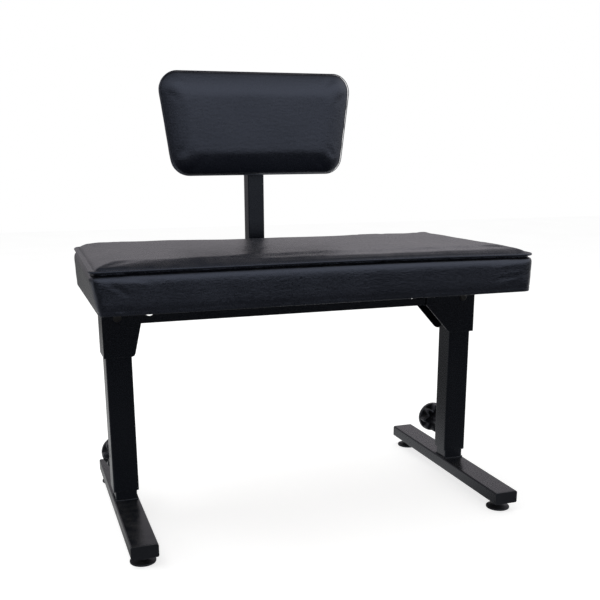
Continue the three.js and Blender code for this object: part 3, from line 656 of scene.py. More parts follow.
def cloth_run(made, pinned, form, cap):
    """Swells a pad by pressure while its sewn points stay put, and keeps each point's move
    within the cap at its place."""
    rest = read_vectors(made.data, "co")
    group = made.vertex_groups.new(name="sewn")
    group.add(np.flatnonzero(pinned(rest)).tolist(), 1.0, "REPLACE")
    cloth = made.modifiers.new("Cloth", "CLOTH")
    settings = cloth.settings
    settings.quality = 5
    settings.mass = 0.3
    settings.tension_stiffness = settings.compression_stiffness = 18
    settings.bending_stiffness = 1.2
    settings.use_pressure = True
    settings.uniform_pressure_force = form.pressure
    settings.effector_weights.gravity = 0
    settings.vertex_group_mass = "sewn"
    cloth.point_cache.frame_start, cloth.point_cache.frame_end = 1, 20
    for step in range(1, 21):
        bpy.context.scene.frame_set(step)
    graph = bpy.context.evaluated_depsgraph_get()
    moved = read_vectors(made.evaluated_get(graph).data, "co") - rest
    length = np.maximum(np.linalg.norm(moved, axis=1), 1e-9)
    made.modifiers.clear()
    set_places(made.data, rest + moved * np.minimum(1, cap(rest) / length)[:, None])
    bpy.context.scene.frame_set(1)
    made.vertex_groups.clear()


def swell(made, pinned, form, cap, passes):
    """Finishes a pad: an even mesh, the cloth run, a few smoothing passes, one subdivision."""
    remesh = made.modifiers.new("Even mesh", "REMESH")
    remesh.mode = "VOXEL"
    remesh.voxel_size = form.voxel
    settle(made)
    cloth_run(made, pinned, form, cap)
    even = made.modifiers.new("Even out", "SMOOTH")
    even.factor, even.iterations = 0.5, passes
    smooth = made.modifiers.new("Smooth", "SUBSURF")
    smooth.levels = smooth.render_levels = 1
    settle(made)


def bound_edge(corners, radius, section, level, axis, ripple=0.0):
    """Cover folded round the edge of a board: a closed section of (inset, height) points in mm,
    carried round the board's outline, with a slight ripple along its stapled side."""
    count = 360
    wave = ripple * np.sin(np.arange(count) * 1.7) * np.sin(np.arange(count) * 0.31)
    rings = []
    for inset, height in section:
        flat, _ = rounded_loop(corners, radius, count, inset * MM)
        stapled = inset > 8 and height < 0.2
        rings.append(placed(flat, level + (height + wave * stapled) * MM, axis, (0, 0, 0)))
    return np.array(rings)


# Seat pad

SEAT_CORNERS = np.array([[-1, -1], [1, -1], [1, 1], [-1, 1]]) * SEAT_HALF
CORNER_SHARES = np.array([1, 2, 2, 2.2])

# Underside inside the hem, hidden in the board, and how far the mesh stands back from the cover
HIDDEN_RISE = 5 * MM
COVER = 0.8 * MM

# Left end of the seat, where the cover is full: how far out, and where it begins
FULL_OUT = 9.5 * MM
FULL_START = 180 * MM

# Side of the pad from the underside to the seam: height over the hem and distance out, in mm
SEAT_SIDE = [
    (4.6, -11), (0.4, -8), (-0.2, -2.6), (0.6, -0.8), (2.4, 0.6), (6, 1.4), (14, 1.9), (26, 2.2),
    (38, 2.5), (46, 2.8), (50, 2.8), (52, 2.2), (53.5, 0.7), (54.6, -1.2), (55.8, -3.0),
    (57.2, -4.6), (58.8, -5.4)]

# Top of the pad: how far in from the edge each ring lies, in mm
SEAT_TOP = (5.9, 6.6, 7.6, 9, 11, 13.5, 16.5, 20, 24, 29, 35, 42, 60, 90, 120, 150, 167)

# Nose of the top beside the piping: its height, where it begins and how soon it is full, in mm,
# then how far below the seam the top begins and how far in its roll does
NOSE_HEIGHT, NOSE_START, NOSE_RISE = 3.4, 5.6, 1.8
TOP_DROP = 1 * MM
ROLL_START = 5

# Wander of the seam: place on the seat, reach and rise of each hump, in mm
SEAM_HUMPS = [
    ((334, -170), (120, 60), -2.0), ((-334, -170), (60, 40), -0.6), ((-334, 170), (16, 16), 0.7),
    ((150, 170), (26, 30), -0.8), ((215, 170), (24, 30), 0.7), ((290, 170), (26, 30), -0.9),
    ((0, -170), (160, 40), 0.5)]

# Outline that the wander is measured from, by its corner radius, and how far in it fades
WANDER_CORNER = 16 * MM
WANDER_REACH = 25 * MM

# Folds of the seat's cover: start, end, width and depth of each, in mm
SEAT_FOLDS = [
    ((334, -225, 389), (262, -229, 380), 5, 0.8), ((334, -222, 376), (286, -229, 371), 4, 0.6),
    ((330, -227, 412), (250, -229, 404), 5, 0.5), ((-326, -226, 408), (-292, -229, 385), 6, 0.8),
    ((-310, -229, 412), (-255, -229, 402), 5, 0.5), ((-322, -227, 372), (-285, -229, 366), 4, 0.4),
    ((-334, -180, 402), (-334, -120, 380), 6, 0.5), ((334, 40, 405), (334, 90, 380), 6, 0.6),
    ((-150, 110, 405), (-60, 110, 392), 7, 0.6), ((120, 110, 402), (230, 110, 390), 7, 0.6),
    ((150, 96, 424), (158, 60, 427), 7, 0.9), ((215, 98, 424), (205, 58, 427), 8, 0.7),
    ((290, 96, 424), (276, 62, 427), 7, 0.9), ((-270, 94, 424), (-262, 66, 427), 6, 0.4)]

# Groove under the piping: depth, distance below the seam and width
GROOVE_DEPTH, GROOVE_DROP, GROOVE_WIDTH = 2.5 * MM, 3.6 * MM, 1.8 * MM

# Upright seams at the right end's corners: depth, width and how far in they are looked for
UPRIGHT_DEPTH, UPRIGHT_WIDTH, UPRIGHT_INSET = 0.8 * MM, 2.2 * MM, 4.7 * MM

# How far the cloth run may move the cover: above the seam and below it
TOP_SWELL, SIDE_SWELL = 1.6 * MM, 0.3 * MM

# Piping: how far it stands out and up from the seam, and the flange by which it is sewn in
PIPING_OUT = -0.9 * MM
PIPING_RISE = -0.3 * MM
FLANGE_REACH = 9 * MM
FLANGE_HALF = 0.8 * MM

# Cover folded in under the board: inset and height of its section, in mm
SEAT_HEM_SECTION = [
    (-0.4, 6), (-0.3, 2), (0.0, 0.2), (0.3, -0.1), (1.0, -0.3), (8, -0.9), (25, -1.0),
    (26, -0.8), (26, -0.2), (8, 0.3), (2, 1.0), (1.4, 4), (1.4, 6)]
SEAT_HEM_LIFT = 0.2 * MM


def seam_drop(points):
    """How the seat's seam wanders up and down: pulled down at the front corners, standing up
    at the left rear one, and a little uneven along the rear."""
    return sum(rise * MM * bump_at(points, np.array(at) * MM, np.array(reach) * MM)
               for at, reach, rise in SEAM_HUMPS)


def seat_ring(flat, height):
    """One ring of the seat in place: its seam's wander added, and its left end let out towards
    the front and the top, where the cover of the real one is full."""
    share = np.clip((height - SEAT_HEM) / (SEAT_SEAM - SEAT_HEM), 0, 1)
    left = np.clip((-flat[:, 0] - FULL_START) / (SEAT_HALF[0] - FULL_START), 0, 1) ** 2
    front = np.clip((SEAT_HALF[1] - flat[:, 1]) / (2 * SEAT_HALF[1]), 0, 1)
    out = FULL_OUT * share * left * front
    inside = np.maximum(inside_distance(flat, SEAT_CORNERS, WANDER_CORNER), 0)
    drop = seam_drop(flat) * share ** 3 * np.exp(-(inside / WANDER_REACH) ** 2)
    return np.column_stack([flat[:, 0] - out, flat[:, 1] + LEG_Y, height + drop])


def seat_shape(form):
    """Closed seat pad: rings from the middle of the underside out to the hem, up the side panel,
    in under the piping, and over the crown. On top, height is the crown times the rolled rise
    from the seam, over a short steep nose beside the piping."""
    count = 420
    radius = form.corner * CORNER_SHARES
    loop, normal = rounded_loop(SEAT_CORNERS, radius, count)
    rings = [seat_ring(loop * share, SEAT_HEM + HIDDEN_RISE)
             for share in (0.02, 0.3, 0.6, 0.85, 0.94)]
    for height, out in SEAT_SIDE:
        rings.append(seat_ring(loop + normal * (out * MM - COVER), SEAT_HEM + height * MM))
    for inset in SEAT_TOP:
        flat, _ = rounded_loop(SEAT_CORNERS, radius, count, inset * MM)
        rise = form.crown * rolled((inset - ROLL_START) * MM, form.roll)
        nose = NOSE_HEIGHT * MM * (1 - math.exp(-(inset - NOSE_START) / NOSE_RISE))
        rings.append(seat_ring(flat, SEAT_SEAM - TOP_DROP - COVER / 2 + nose + rise))
    return np.array(rings)


def seat_folds(points, normals):
    """Relief of the seat's cover: folds in places read from the photograph, a slow unevenness,
    the sewn corners of the right end, and the groove under the piping."""
    x, y, z = points.T
    level = normals[:, 2]
    wave = 0.35 * MM * np.sin(x * 38 + 1.3) * np.sin(y * 31 + 0.4)
    wave += 0.2 * MM * np.sin(x * 83 + z * 40) * np.sin(y * 67 + 2.1)
    past = np.abs(points[:, :2] - [0, LEG_Y]) - SEAT_HALF + UPRIGHT_INSET
    corner = np.exp(-((past[:, 0] - past[:, 1]) / UPRIGHT_WIDTH) ** 2) * (past.min(1) > -4 * MM)
    below = np.clip((SEAT_SEAM - 4 * MM - z) / (4 * MM), 0, 1)
    upright = corner * below * ((np.abs(level) < 0.6) & (x > 0))
    seam = SEAT_SEAM + seam_drop(points[:, :2] - [0, LEG_Y])
    groove = np.exp(-((z - seam + GROOVE_DROP) / GROOVE_WIDTH) ** 2) * (1 - level ** 4)
    folds = sum(crease(points, *fold) for fold in SEAT_FOLDS)
    return folds + wave - UPRIGHT_DEPTH * upright - GROOVE_DEPTH * groove


class BENCH_OT_seat_pad(bpy.types.Operator):
    """Makes the seat's padded cover, the piping sewn round its top and the hem under it"""

    bl_idname = "bench.seat_pad"
    bl_label = "Seat Pad"

    def execute(self, context):
        form = context.scene.bench_upholstery
        pad = piece("seat_pad", [(seat_shape(form), "open")], "base", "black_vinyl",
                    ["seat_cushion"], weighted=False)

        def pinned(points):
            flat = points[:, :2] - [0, LEG_Y]
            inside = inside_distance(flat, SEAT_CORNERS, form.corner)
            seam = np.abs(points[:, 2] - SEAT_SEAM - seam_drop(flat)) < 4.5 * MM
            return (points[:, 2] < SEAT_HEM + 4 * MM) | (seam & (inside < 8 * MM))

        def cap(points):
            return np.where(points[:, 2] > SEAT_SEAM, TOP_SWELL, SIDE_SWELL)

        swell(pad, pinned, form, cap, 1)
        push(pad, seat_folds)
        pad.data.shade_smooth()
        dress(pad, "base", "black_vinyl")

        piece("seat_piping", [(self.welt(form), "ring")], "base", "black_vinyl", weighted=False)
        hem = bound_edge(SEAT_CORNERS, form.corner * CORNER_SHARES, SEAT_HEM_SECTION,
                         SEAT_HEM + SEAT_HEM_LIFT, "Z", 0.25)
        hem[..., 1] += LEG_Y
        piece("seat_hem", [(hem, "ring")], "base", "black_vinyl", weighted=False)
        return {"FINISHED"}

    def welt(self, form):
        """Piping round the seam: a tube with the flat flange by which it is sewn in."""
        t = np.radians(np.linspace(-150, 150, 13))
        across = np.append(np.cos(t) * form.piping, [-FLANGE_REACH] * 2) + PIPING_OUT
        up = np.append(np.sin(t) * form.piping, [FLANGE_HALF, -FLANGE_HALF])
        loop, normal = rounded_loop(SEAT_CORNERS, form.corner * CORNER_SHARES, 640)
        path = seat_ring(loop, SEAT_SEAM + PIPING_RISE + np.zeros(len(loop)))
        outward = np.column_stack([normal, np.zeros(len(normal))])[:, None]
        return path[:, None] + outward * across[:, None] + np.array([0, 0, 1]) * up[:, None]


# Backrest pad: an upright shape with rounded corners, a little turned on its post

BACK_TURN = math.radians(0.37)
BACK_MIDDLE = [-5.5, 621.3]
BACK_ROTATION = [[math.cos(BACK_TURN), math.sin(BACK_TURN)],
                 [-math.sin(BACK_TURN), math.cos(BACK_TURN)]]
BACK_OUTLINE = np.array([[-154.5, -88.6], [154.5, -88.6], [177.5, 87.0], [-177.5, 87.0]])
BACK_CORNERS = (BACK_OUTLINE @ BACK_ROTATION + BACK_MIDDLE) * MM
BACK_CORNER = 33 * MM

# Rear of the pad: how far it is moved to meet its board, how far it is drawn in, in mm, how
# soon that is gone towards the seam, and where the side begins before the rear
REAR_SHIFT = np.array([3.5, 0.6]) * MM
REAR_INSET = 6
REAR_FALL = 1.8
SIDE_START = 1.5 * MM

# How far the cloth run may move the backrest's cover
BACK_SWELL = 1.4 * MM

# Front of the pad: how far in from the edge each ring lies, in mm
BACK_FRONT = (2.2, 3.4, 5, 7.5, 10.5, 14, 18, 23, 29, 36, 45, 56, 68, 78, 84)

# Seam round the front: radius, distance in from the edge and distance before the seam's plane
SEAM_RADIUS = 0.7 * MM
SEAM_INSET = 2.2 * MM
SEAM_FORWARD = 0.5 * MM

# Cover folded in behind the board: inset and height of its section, in mm
BACK_HEM_SECTION = [
    (7.0, -8), (6.7, -3), (7.0, -0.8), (8.4, 0.1), (11, 0.3), (31, 0.3), (32.5, 0.0),
    (32.5, -0.3), (31, -0.5), (11, -0.5), (9.4, -1.2), (8.8, -3), (8.8, -8)]
BACK_HEM_LIFT = 0.1 * MM


def back_shape(form):
    """Closed backrest pad: rings from the middle of the rear out to its edge, forward round the
    side, which widens to the seam, and in over the crown. Height over the seam is the crown times
    the rolled rise from the nearest edge."""
    count = 260
    loop, normal = rounded_loop(BACK_CORNERS, BACK_CORNER, count)
    centre = loop.mean(0)
    rear, _ = rounded_loop(BACK_CORNERS + REAR_SHIFT, BACK_CORNER, count, 6.4 * MM)
    rings = [placed(centre + (rear - centre) * share, BACK_REAR - 0.4 * MM, "Y", (0, 0, 0))
             for share in (0.02, 0.4, 0.8, 0.97)]
    start = BACK_REAR - SIDE_START
    for share in np.linspace(0, 1, 15):
        behind = (1 - share) ** REAR_FALL
        tuck = 1.2 * np.exp(-((1 - share) / 0.07) ** 2) * (share > 0.7)
        inset = REAR_INSET * behind + tuck
        flat, _ = rounded_loop(BACK_CORNERS + REAR_SHIFT * behind, BACK_CORNER, count, inset * MM)
        depth = start + (BACK_SEAM - start) * share
        rings.append(placed(flat - normal * COVER, depth, "Y", (0, 0, 0)))
    for inset in BACK_FRONT:
        flat, _ = rounded_loop(BACK_CORNERS, BACK_CORNER, count, inset * MM)
        depth = BACK_SEAM - form.back_crown * rolled((inset - 1.5) * MM, form.back_roll) + COVER
        rings.append(placed(flat, depth, "Y", (0, 0, 0)))
    return np.array(rings)


class BENCH_OT_back_pad(bpy.types.Operator):
    """Makes the backrest's padded cover, the fine seam round its front and the hem behind it"""

    bl_idname = "bench.back_pad"
    bl_label = "Backrest Pad"

    def execute(self, context):
        form = context.scene.bench_upholstery
        pad = piece("back_pad", [(back_shape(form), "open")], "backrest", "black_vinyl",
                    ["backrest_cushion"], weighted=False)

        def edge_distance(points):
            return inside_distance(points[:, [0, 2]], BACK_CORNERS, BACK_CORNER)

        def pinned(points):
            seam = np.abs(points[:, 1] - BACK_SEAM) < 4 * MM
            return (points[:, 1] > BACK_REAR - 3 * MM) | (seam & (edge_distance(points) < 6 * MM))

        def cap(points):
            return np.full(len(points), BACK_SWELL)

        def seam_line(points, normals):
            width = 2.2 * MM
            away = edge_distance(points) - 1.6 * MM
            near = ((points[:, 1] - BACK_SEAM) / width) ** 2 + (away / width) ** 2
            wave = 0.15 * np.sin(points[:, 0] * 45) * np.sin(points[:, 2] * 52)
            return (wave - 0.9 * np.exp(-near)) * MM

        swell(pad, pinned, form, cap, 4)
        push(pad, seam_line)
        pad.data.shade_smooth()
        dress(pad, "backrest", "black_vinyl")

        loop, normal = rounded_loop(BACK_CORNERS, BACK_CORNER, 420)
        t = np.linspace(0, 2 * np.pi, 10, endpoint=False)
        across = (SEAM_RADIUS * np.cos(t) - SEAM_INSET)[None, :, None]
        depth = BACK_SEAM - SEAM_FORWARD + SEAM_RADIUS * np.sin(t)
        seam = placed(loop[:, None] + normal[:, None] * across, depth, "Y", (0, 0, 0))
        piece("back_seam", [(seam, "ring")], "backrest", "black_vinyl", weighted=False)
        hem = bound_edge(BACK_CORNERS + REAR_SHIFT, BACK_CORNER, BACK_HEM_SECTION,
                         BACK_REAR + BACK_HEM_LIFT, "Y")
        piece("back_hem", [(hem, "ring")], "backrest", "black_vinyl", weighted=False)
        return {"FINISHED"}


# Tubes, bars and their plugs

# Steel sections: width, height, wall and outer corner radius
OUTER_LEG = np.array([40, 40, 2, 3.2]) * MM
INNER_LEG = np.array([34, 34, 2, 2.6]) * MM
FLOOR_BAR = np.array([40, 20, 1.5, 2.4]) * MM
POST = np.array([30, 30, 1.5, 2.4]) * MM
SLEEVE = np.array([36, 36, 2.5, 3.4]) * MM
ARM = np.array([30, 20, 1.5, 2.2]) * MM

# Ends of the tubes, in height or along the bar
OUTER_FOOT = 51 * MM
INNER_FOOT = 35.3 * MM
INNER_TOP = 240.3 * MM
BAR_Z = 25 * MM
BAR_HALF = 190 * MM
POST_FOOT = 298.8 * MM
POST_TOP = 690.8 * MM
SLEEVE_FOOT = 296 * MM
SLEEVE_TOP = 400 * MM
SLEEVE_FLOOR = 2.5 * MM

# Round of a cut tube's rim and of a plug's rim
TUBE_RIM = 0.35 * MM
PLUG_RIM = 0.5 * MM

# Plugs: gap under the plate, play of the stub in the bore, its corner and how far it passes up
PLUG_GAP = 0.3 * MM
STUB_PLAY = 0.6 * MM
STUB_CORNER = 1.4 * MM

# Holes: pivot bolt and lock pin in a leg, and the one in the bar's outer side
BOLT_HOLE = 4.4 * MM
BAR_HOLE = 3 * MM
BAR_HOLE_FORWARD = 37 * MM
NUT_ACROSS = 13 * MM
NUT_BORE = 4.3 * MM


def tube(section, start, end, axis, centre, flat_steps=2):
    """Tube wall as one ring: up the outside, over the end, down the bore and round again, with
    a small round at each rim."""
    width, height, wall, corner = section
    rim = TUBE_RIM
    inset = [0, 0, 0.3 * rim, rim, wall - rim, wall, wall, wall - rim, rim, 0.3 * rim]
    along = [start + rim, end - rim, end - 0.3 * rim, end, end, end - rim,
             start + rim, start, start, start + 0.3 * rim]
    rows = [(width - 2 * i, height - 2 * i, corner - i, a) for i, a in zip(inset, along)]
    return loft(rows, axis, centre, flat_steps)


def plug(width, height, corner, start, end, axis, centre):
    """Solid plate with rounded rims: rounded rectangles that shrink at both ends."""
    step = math.copysign(PLUG_RIM, end - start)
    inset = [0.55, 0.3, 0, 0, 0.3, 1.0]
    along = [start, start + 0.3 * step, start + step, end - step, end - 0.3 * step, end]
    rows = [(width - 2 * i * PLUG_RIM, height - 2 * i * PLUG_RIM, corner - i * PLUG_RIM, a)
            for i, a in zip(inset, along)]
    return loft(rows, axis, centre)


def end_plug(section, corner, end, way, thickness, reach, axis, centre):
    """Plug of a tube's end: a plate over the rim and a stub that reaches into the bore."""
    width, height, wall, _ = section
    face = end + way * PLUG_GAP
    plate = plug(width, height, corner, face, face + way * thickness, axis, centre)
    less = 2 * wall + STUB_PLAY
    stub = plug(width - less, height - less, STUB_CORNER, end - way * reach,
                end + way * 2 * PLUG_GAP, axis, centre)
    return [(plate, "open"), (stub, "open")]


def hex_radius(columns, across, limit):
    """Distance from a hexagon's middle to its side at each angle, no further than a limit."""
    t = np.linspace(0, 2 * np.pi, columns, endpoint=False)
    side = across / 2 / np.cos((t + np.pi / 6) % (np.pi / 3) - np.pi / 6)
    return np.minimum(side, limit)


def nut(across, bore, start, end, axis, centre):
    """Hexagon nut: flats in the middle, turned down to a cone at both ends, round the bore."""
    columns = 72
    full = hex_radius(columns, across, across)
    cone = hex_radius(columns, across, across * 0.5)
    soft = hex_radius(columns, across, across * 0.475)
    hole = np.full(columns, bore)
    radius = np.array([hole, soft, cone, full, full, cone, soft, hole])
    along = start + (end - start) * np.array([0, 0, 0.04, 0.16, 0.84, 0.96, 1, 1])
    return turned(radius, along, axis, centre, columns)


def weld_nut(face, centre):
    """Nut welded to a tube's rear face, for the clamping screw of a star knob."""
    return nut(NUT_ACROSS, NUT_BORE, face - 0.6 * MM, face + 7.5 * MM, "Y", centre)


def drilled(made, radius, start, end, axis, centre):
    """Cuts a round hole through a piece with a cutter that is then thrown away."""
    columns = 40
    ring = np.arange(columns)
    after = (ring + 1) % columns
    walls = np.stack([ring, after, after + columns, ring + columns], -1).tolist()
    ends = [ring.tolist(), (ring + columns).tolist()]
    grid = turned([radius, radius], [start, end], axis, centre, columns)
    cutter = bpy.data.meshes.new("cutter")
    cutter.from_pydata(grid.reshape(-1, 3).tolist(), [], [*walls, *ends])
    clean(cutter)
    knife = bpy.data.objects.new("cutter", cutter)
    bpy.context.scene.collection.objects.link(knife)
    made.modifiers.clear()
    cut = made.modifiers.new("Hole", "BOOLEAN")
    cut.operation, cut.solver, cut.object = "DIFFERENCE", "EXACT", knife
    bpy.context.view_layer.update()
    settle(made)
    bpy.data.objects.remove(knife)
    bpy.data.meshes.remove(cutter)
    made.data.shade_smooth()
    made.data.set_sharp_from_angle(angle=SHARP_ANGLE)
    made.modifiers.new("Even shading", "WEIGHTED_NORMAL").keep_sharp = True


class BENCH_OT_legs(bpy.types.Operator):
    """Makes the telescoping leg tubes, the bars on the floor, their plugs and the weld beads"""

    bl_idname = "bench.legs"
    bl_label = "Legs and Floor Bars"

    def execute(self, context):
        for side, sign in SIDES.items():
            x = sign * LEG_X
            self.upper(side, x)
            inner = tube(INNER_LEG, INNER_FOOT, INNER_TOP, "Z", (x, LEG_Y, 0), 4)
            piece(f"{side}_leg_slider", [(inner, "ring")], f"{side}_lower_leg",
                  "black_powder_coat", [f"{side}_inner_leg"])
            self.weld(side, x)
            self.bar(side, sign, x)
        return {"FINISHED"}

    def upper(self, side, x):
        """Outer tube, round about the pivot at its top, with its holes and its welded nut."""
        body = f"{side}_upper_leg"
        half = OUTER_LEG[0] / 2
        outer = tube(OUTER_LEG, OUTER_FOOT, PIVOT_Z, "Z", (x, LEG_Y, 0), 14)
        across = outer[1:6, :, 0] - x
        outer[1:6, :, 2] += np.sqrt(np.maximum(half ** 2 - across ** 2, 0))
        leg = piece(f"{side}_leg_tube", [(outer, "ring")], body, "black_powder_coat",
                    [f"{side}_outer_leg"])
        rear = LEG_Y + half + 4 * MM
        drilled(leg, BOLT_HOLE, LEG_Y - half - 4 * MM, rear, "Y", (x, 0, PIVOT_Z))
        drilled(leg, BOLT_HOLE, LEG_Y + half - 6 * MM, rear, "Y", (x, 0, LOCK_Z))
        grid = weld_nut(half, (x, LEG_Y, LEG_CLAMP_Z))
        piece(f"{side}_weld_nut", [(grid, "ring")], body, "black_powder_coat")

    def weld(self, side, x):
        """Bead round the foot of the inner tube: a thin roll with even ripples along it."""
        width = INNER_LEG[0] + 0.6 * MM
        section = rounded_section(width, width, 3 * MM, 8, 60)
        normal = section / np.linalg.norm(section, axis=1)[:, None]
        out = np.column_stack([normal, np.zeros(len(normal))])
        path = placed(section, INNER_FOOT + 0.1 * MM, "Z", (x, LEG_Y, 0))
        radius = 1.9 * MM * (1 + 0.16 * np.sin(np.arange(len(path)) * 2 * np.pi / 5))
        piece(f"{side}_weld_bead", [(swept(path, out, radius, 10), "ring")],
              f"{side}_lower_leg", "black_powder_coat", weighted=False)

    def bar(self, side, sign, x):
        """Floor bar with the hole in its outer side and a plug at each end."""
        body = f"{side}_lower_leg"
        centre = (x, LEG_Y, BAR_Z)
        grid = tube(FLOOR_BAR, -BAR_HALF, BAR_HALF, "Y", centre)
        bar = piece(f"{side}_floor_bar", [(grid, "ring")], body, "black_powder_coat",
                    [f"{side}_foot_bar"])
        reach = sorted([sign * 14 * MM, sign * 24 * MM])
        drilled(bar, BAR_HOLE, *reach, "X", (x, LEG_Y - BAR_HOLE_FORWARD, BAR_Z))
        for end, way in ENDS.items():
            grids = end_plug(FLOOR_BAR, 2.6 * MM, way * BAR_HALF, way, 2.2 * MM, 11.7 * MM,
                             "Y", centre)
            piece(f"{side}_{end}_plug", grids, body, "black_plastic", [f"{side}_bar_{end}_cap"])


class BENCH_OT_post(bpy.types.Operator):
    """Makes the back post, its plug, and the arm and sleeve that hold it"""

    bl_idname = "bench.post"
    bl_label = "Back Post"

    def execute(self, context):
        centre = (0, POST_Y, 0)
        post = tube(POST, POST_FOOT, POST_TOP, "Z", centre)
        piece("post_tube", [(post, "ring")], "backrest", "black_powder_coat", ["back_post"])
        grids = end_plug(POST, 2.4 * MM, POST_TOP, 1, 3 * MM, 11.8 * MM, "Z", centre)
        piece("post_plug", grids, "backrest", "black_plastic", ["back_post_cap"])
        sleeve = tube(SLEEVE, SLEEVE_FOOT, SLEEVE_TOP, "Z", centre)
        floor = plug(34 * MM, 34 * MM, 2.4 * MM, SLEEVE_FOOT, SLEEVE_FOOT + SLEEVE_FLOOR, "Z",
                     centre)
        boss = weld_nut(SLEEVE[0] / 2, (0, POST_Y, POST_CLAMP_Z))
        piece("post_sleeve", [(sleeve, "ring"), (floor, "open"), (boss, "ring")], "base",
              "black_powder_coat", ["back_socket"])
        low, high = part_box("back_arm")
        arm = tube(ARM, low.y, high.y, "Y", (0, 0, (low.z + high.z) / 2))
        piece("post_arm", [(arm, "ring")], "base", "black_powder_coat", ["back_arm"])
        return {"FINISHED"}


# Knobs, feet, bolts and pins

# Levelling foot from its sole up: radius and height, in mm
FOOT_PROFILE = [
    (0.01, 0), (17.6, 0), (18.6, 0.3), (19, 1), (19, 2.5), (18.7, 3), (18, 3.2), (17, 3.15),
    (12.5, 4.3), (9.4, 5.8), (8.6, 6.8), (8.4, 7.6), (8, 8), (0.01, 8)]

# Screw heads from the socket's floor round the rim: radius and distance behind the face, in mm
PIVOT_HEAD = [(0.01, 1.5), (2.2, 1.5), (2.5, 0.1), (4.6, 0.25), (5.6, 0.8), (6.3, 1.9), (6.5, 3.0),
              (6.3, 3.4), (4.0, 3.5)]
BACK_HEAD = [(0.01, 1.6), (1.6, 1.6), (1.9, 0.1), (3.6, 0.2), (4.6, 0.8), (5.3, 1.8), (5.5, 2.9),
             (5.3, 3.2), (3.0, 3.3)]

# Lock barrel from its front end: radius and distance along it, in mm
BARREL_PROFILE = [(4.4, 0), (7.4, 0), (8, 0.6), (8, 7.4), (7.4, 8), (6.6, 8.2), (6.6, 9.2),
                  (7.4, 9.4), (7.4, 13.4), (6.8, 14), (4.4, 14)]

# Hollows between a star knob's lobes: depth, and a power that sharpens the lobes' flanks
SCALLOP_DEPTH = 7.0 * MM
SCALLOP_POWER = 1.25

# Bolts: radius, pitch of the thread, and how much of the pivot bolt is threaded
M8_RADIUS, M8_PITCH = 4 * MM, 1.25 * MM
M6_RADIUS, M6_PITCH = 3 * MM, 1 * MM
PIVOT_THREAD = 11 * MM


def star_knob(form, start, centre):
    """Star knob round the Y axis: hub, lobed grip and round disc. The grip's radius at angle t
    is its outer radius less a scallop, (1 - cos(lobes t)) / 2 to a power, times its depth."""
    columns = form.lobes * 20
    t = np.linspace(0, 2 * np.pi, columns, endpoint=False)
    scallop = ((1 - np.cos(form.lobes * t)) / 2) ** SCALLOP_POWER
    lobed = (form.grip - SCALLOP_DEPTH * scallop) / MM
    rows = [
        (0.01, 0), (11.4, 0), (12.0, 0.6), (12.0, 20.4), (12.6, 21.6), (14.4, 22.2),
        (lobed - 4.2, 22.3), (lobed - 1.6, 22.9), (lobed - 0.5, 23.8), (lobed, 25.2),
        (lobed, 36.6), (lobed + 0.1, 37.0), (25.6, 37.2), (26.3, 37.6), (26.5, 38.6),
        (26.5, 43.2), (26.1, 44.4), (25.2, 45.0), (20.0, 45.0), (18.6, 44.2), (9.0, 43.9),
        (8.0, 44.6), (0.01, 44.8)]
    radius = np.array([np.broadcast_to(r, columns) for r, _ in rows]) * MM
    along = start + np.array([a for _, a in rows]) * MM
    return turned(radius, along, "Y", centre, columns)


def threaded(radius, pitch, start, end, axis, centre):
    """Screw thread: the radius falls from crest to root and back once a pitch, and the phase
    goes round with the angle."""
    steps, columns = 10, 20
    rows = int(round((end - start) / pitch * steps)) + 1
    along = np.linspace(start, end, rows)[:, None]
    t = np.linspace(0, 2 * np.pi, columns, endpoint=False)[None]
    phase = (along / pitch - t / (2 * np.pi)) % 1
    deepest = 0.55 * pitch
    depth = deepest * np.clip(np.abs(phase * 2 - 1) * 1.2 - 0.1, 0, 1)
    taper = np.clip(np.minimum(along - start, end - along) / pitch, 0, 1)
    shape = radius - deepest + (deepest - depth) * taper
    return turned(shape, np.broadcast_to(along, shape.shape), axis, centre, columns)


def button_head(profile, socket, way, centre, columns):
    """Round screw head with a hexagon socket: its second and third rows are the socket's wall,
    as wide as the hexagon and no wider than a limit."""
    radius, along = np.array(profile).T
    radius = radius[:, None] * np.ones(columns)
    radius[1:3] = hex_radius(columns, *socket)
    return turned(radius * MM, way * along * MM, "Y", centre, columns)


def middle(node):
    """Centre of a CAD node's box."""
    low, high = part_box(node)
    return (low + high) / 2


class BENCH_OT_knobs(bpy.types.Operator):
    """Makes the star knobs that clamp the legs and the back post"""

    bl_idname = "bench.knobs"
    bl_label = "Star Knobs"

    def execute(self, context):
        for label in ("left", "right", "back"):
            node = f"{label}_star_knob"
            at = middle(node)
            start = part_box(node)[0].y
            grid = star_knob(context.scene.bench_hardware, start, (at.x, 0, at.z))
            piece(f"{label}_grip_knob", [(grid, "pole")], f"{label}_knob", "black_plastic",
                  [node])
        return {"FINISHED"}


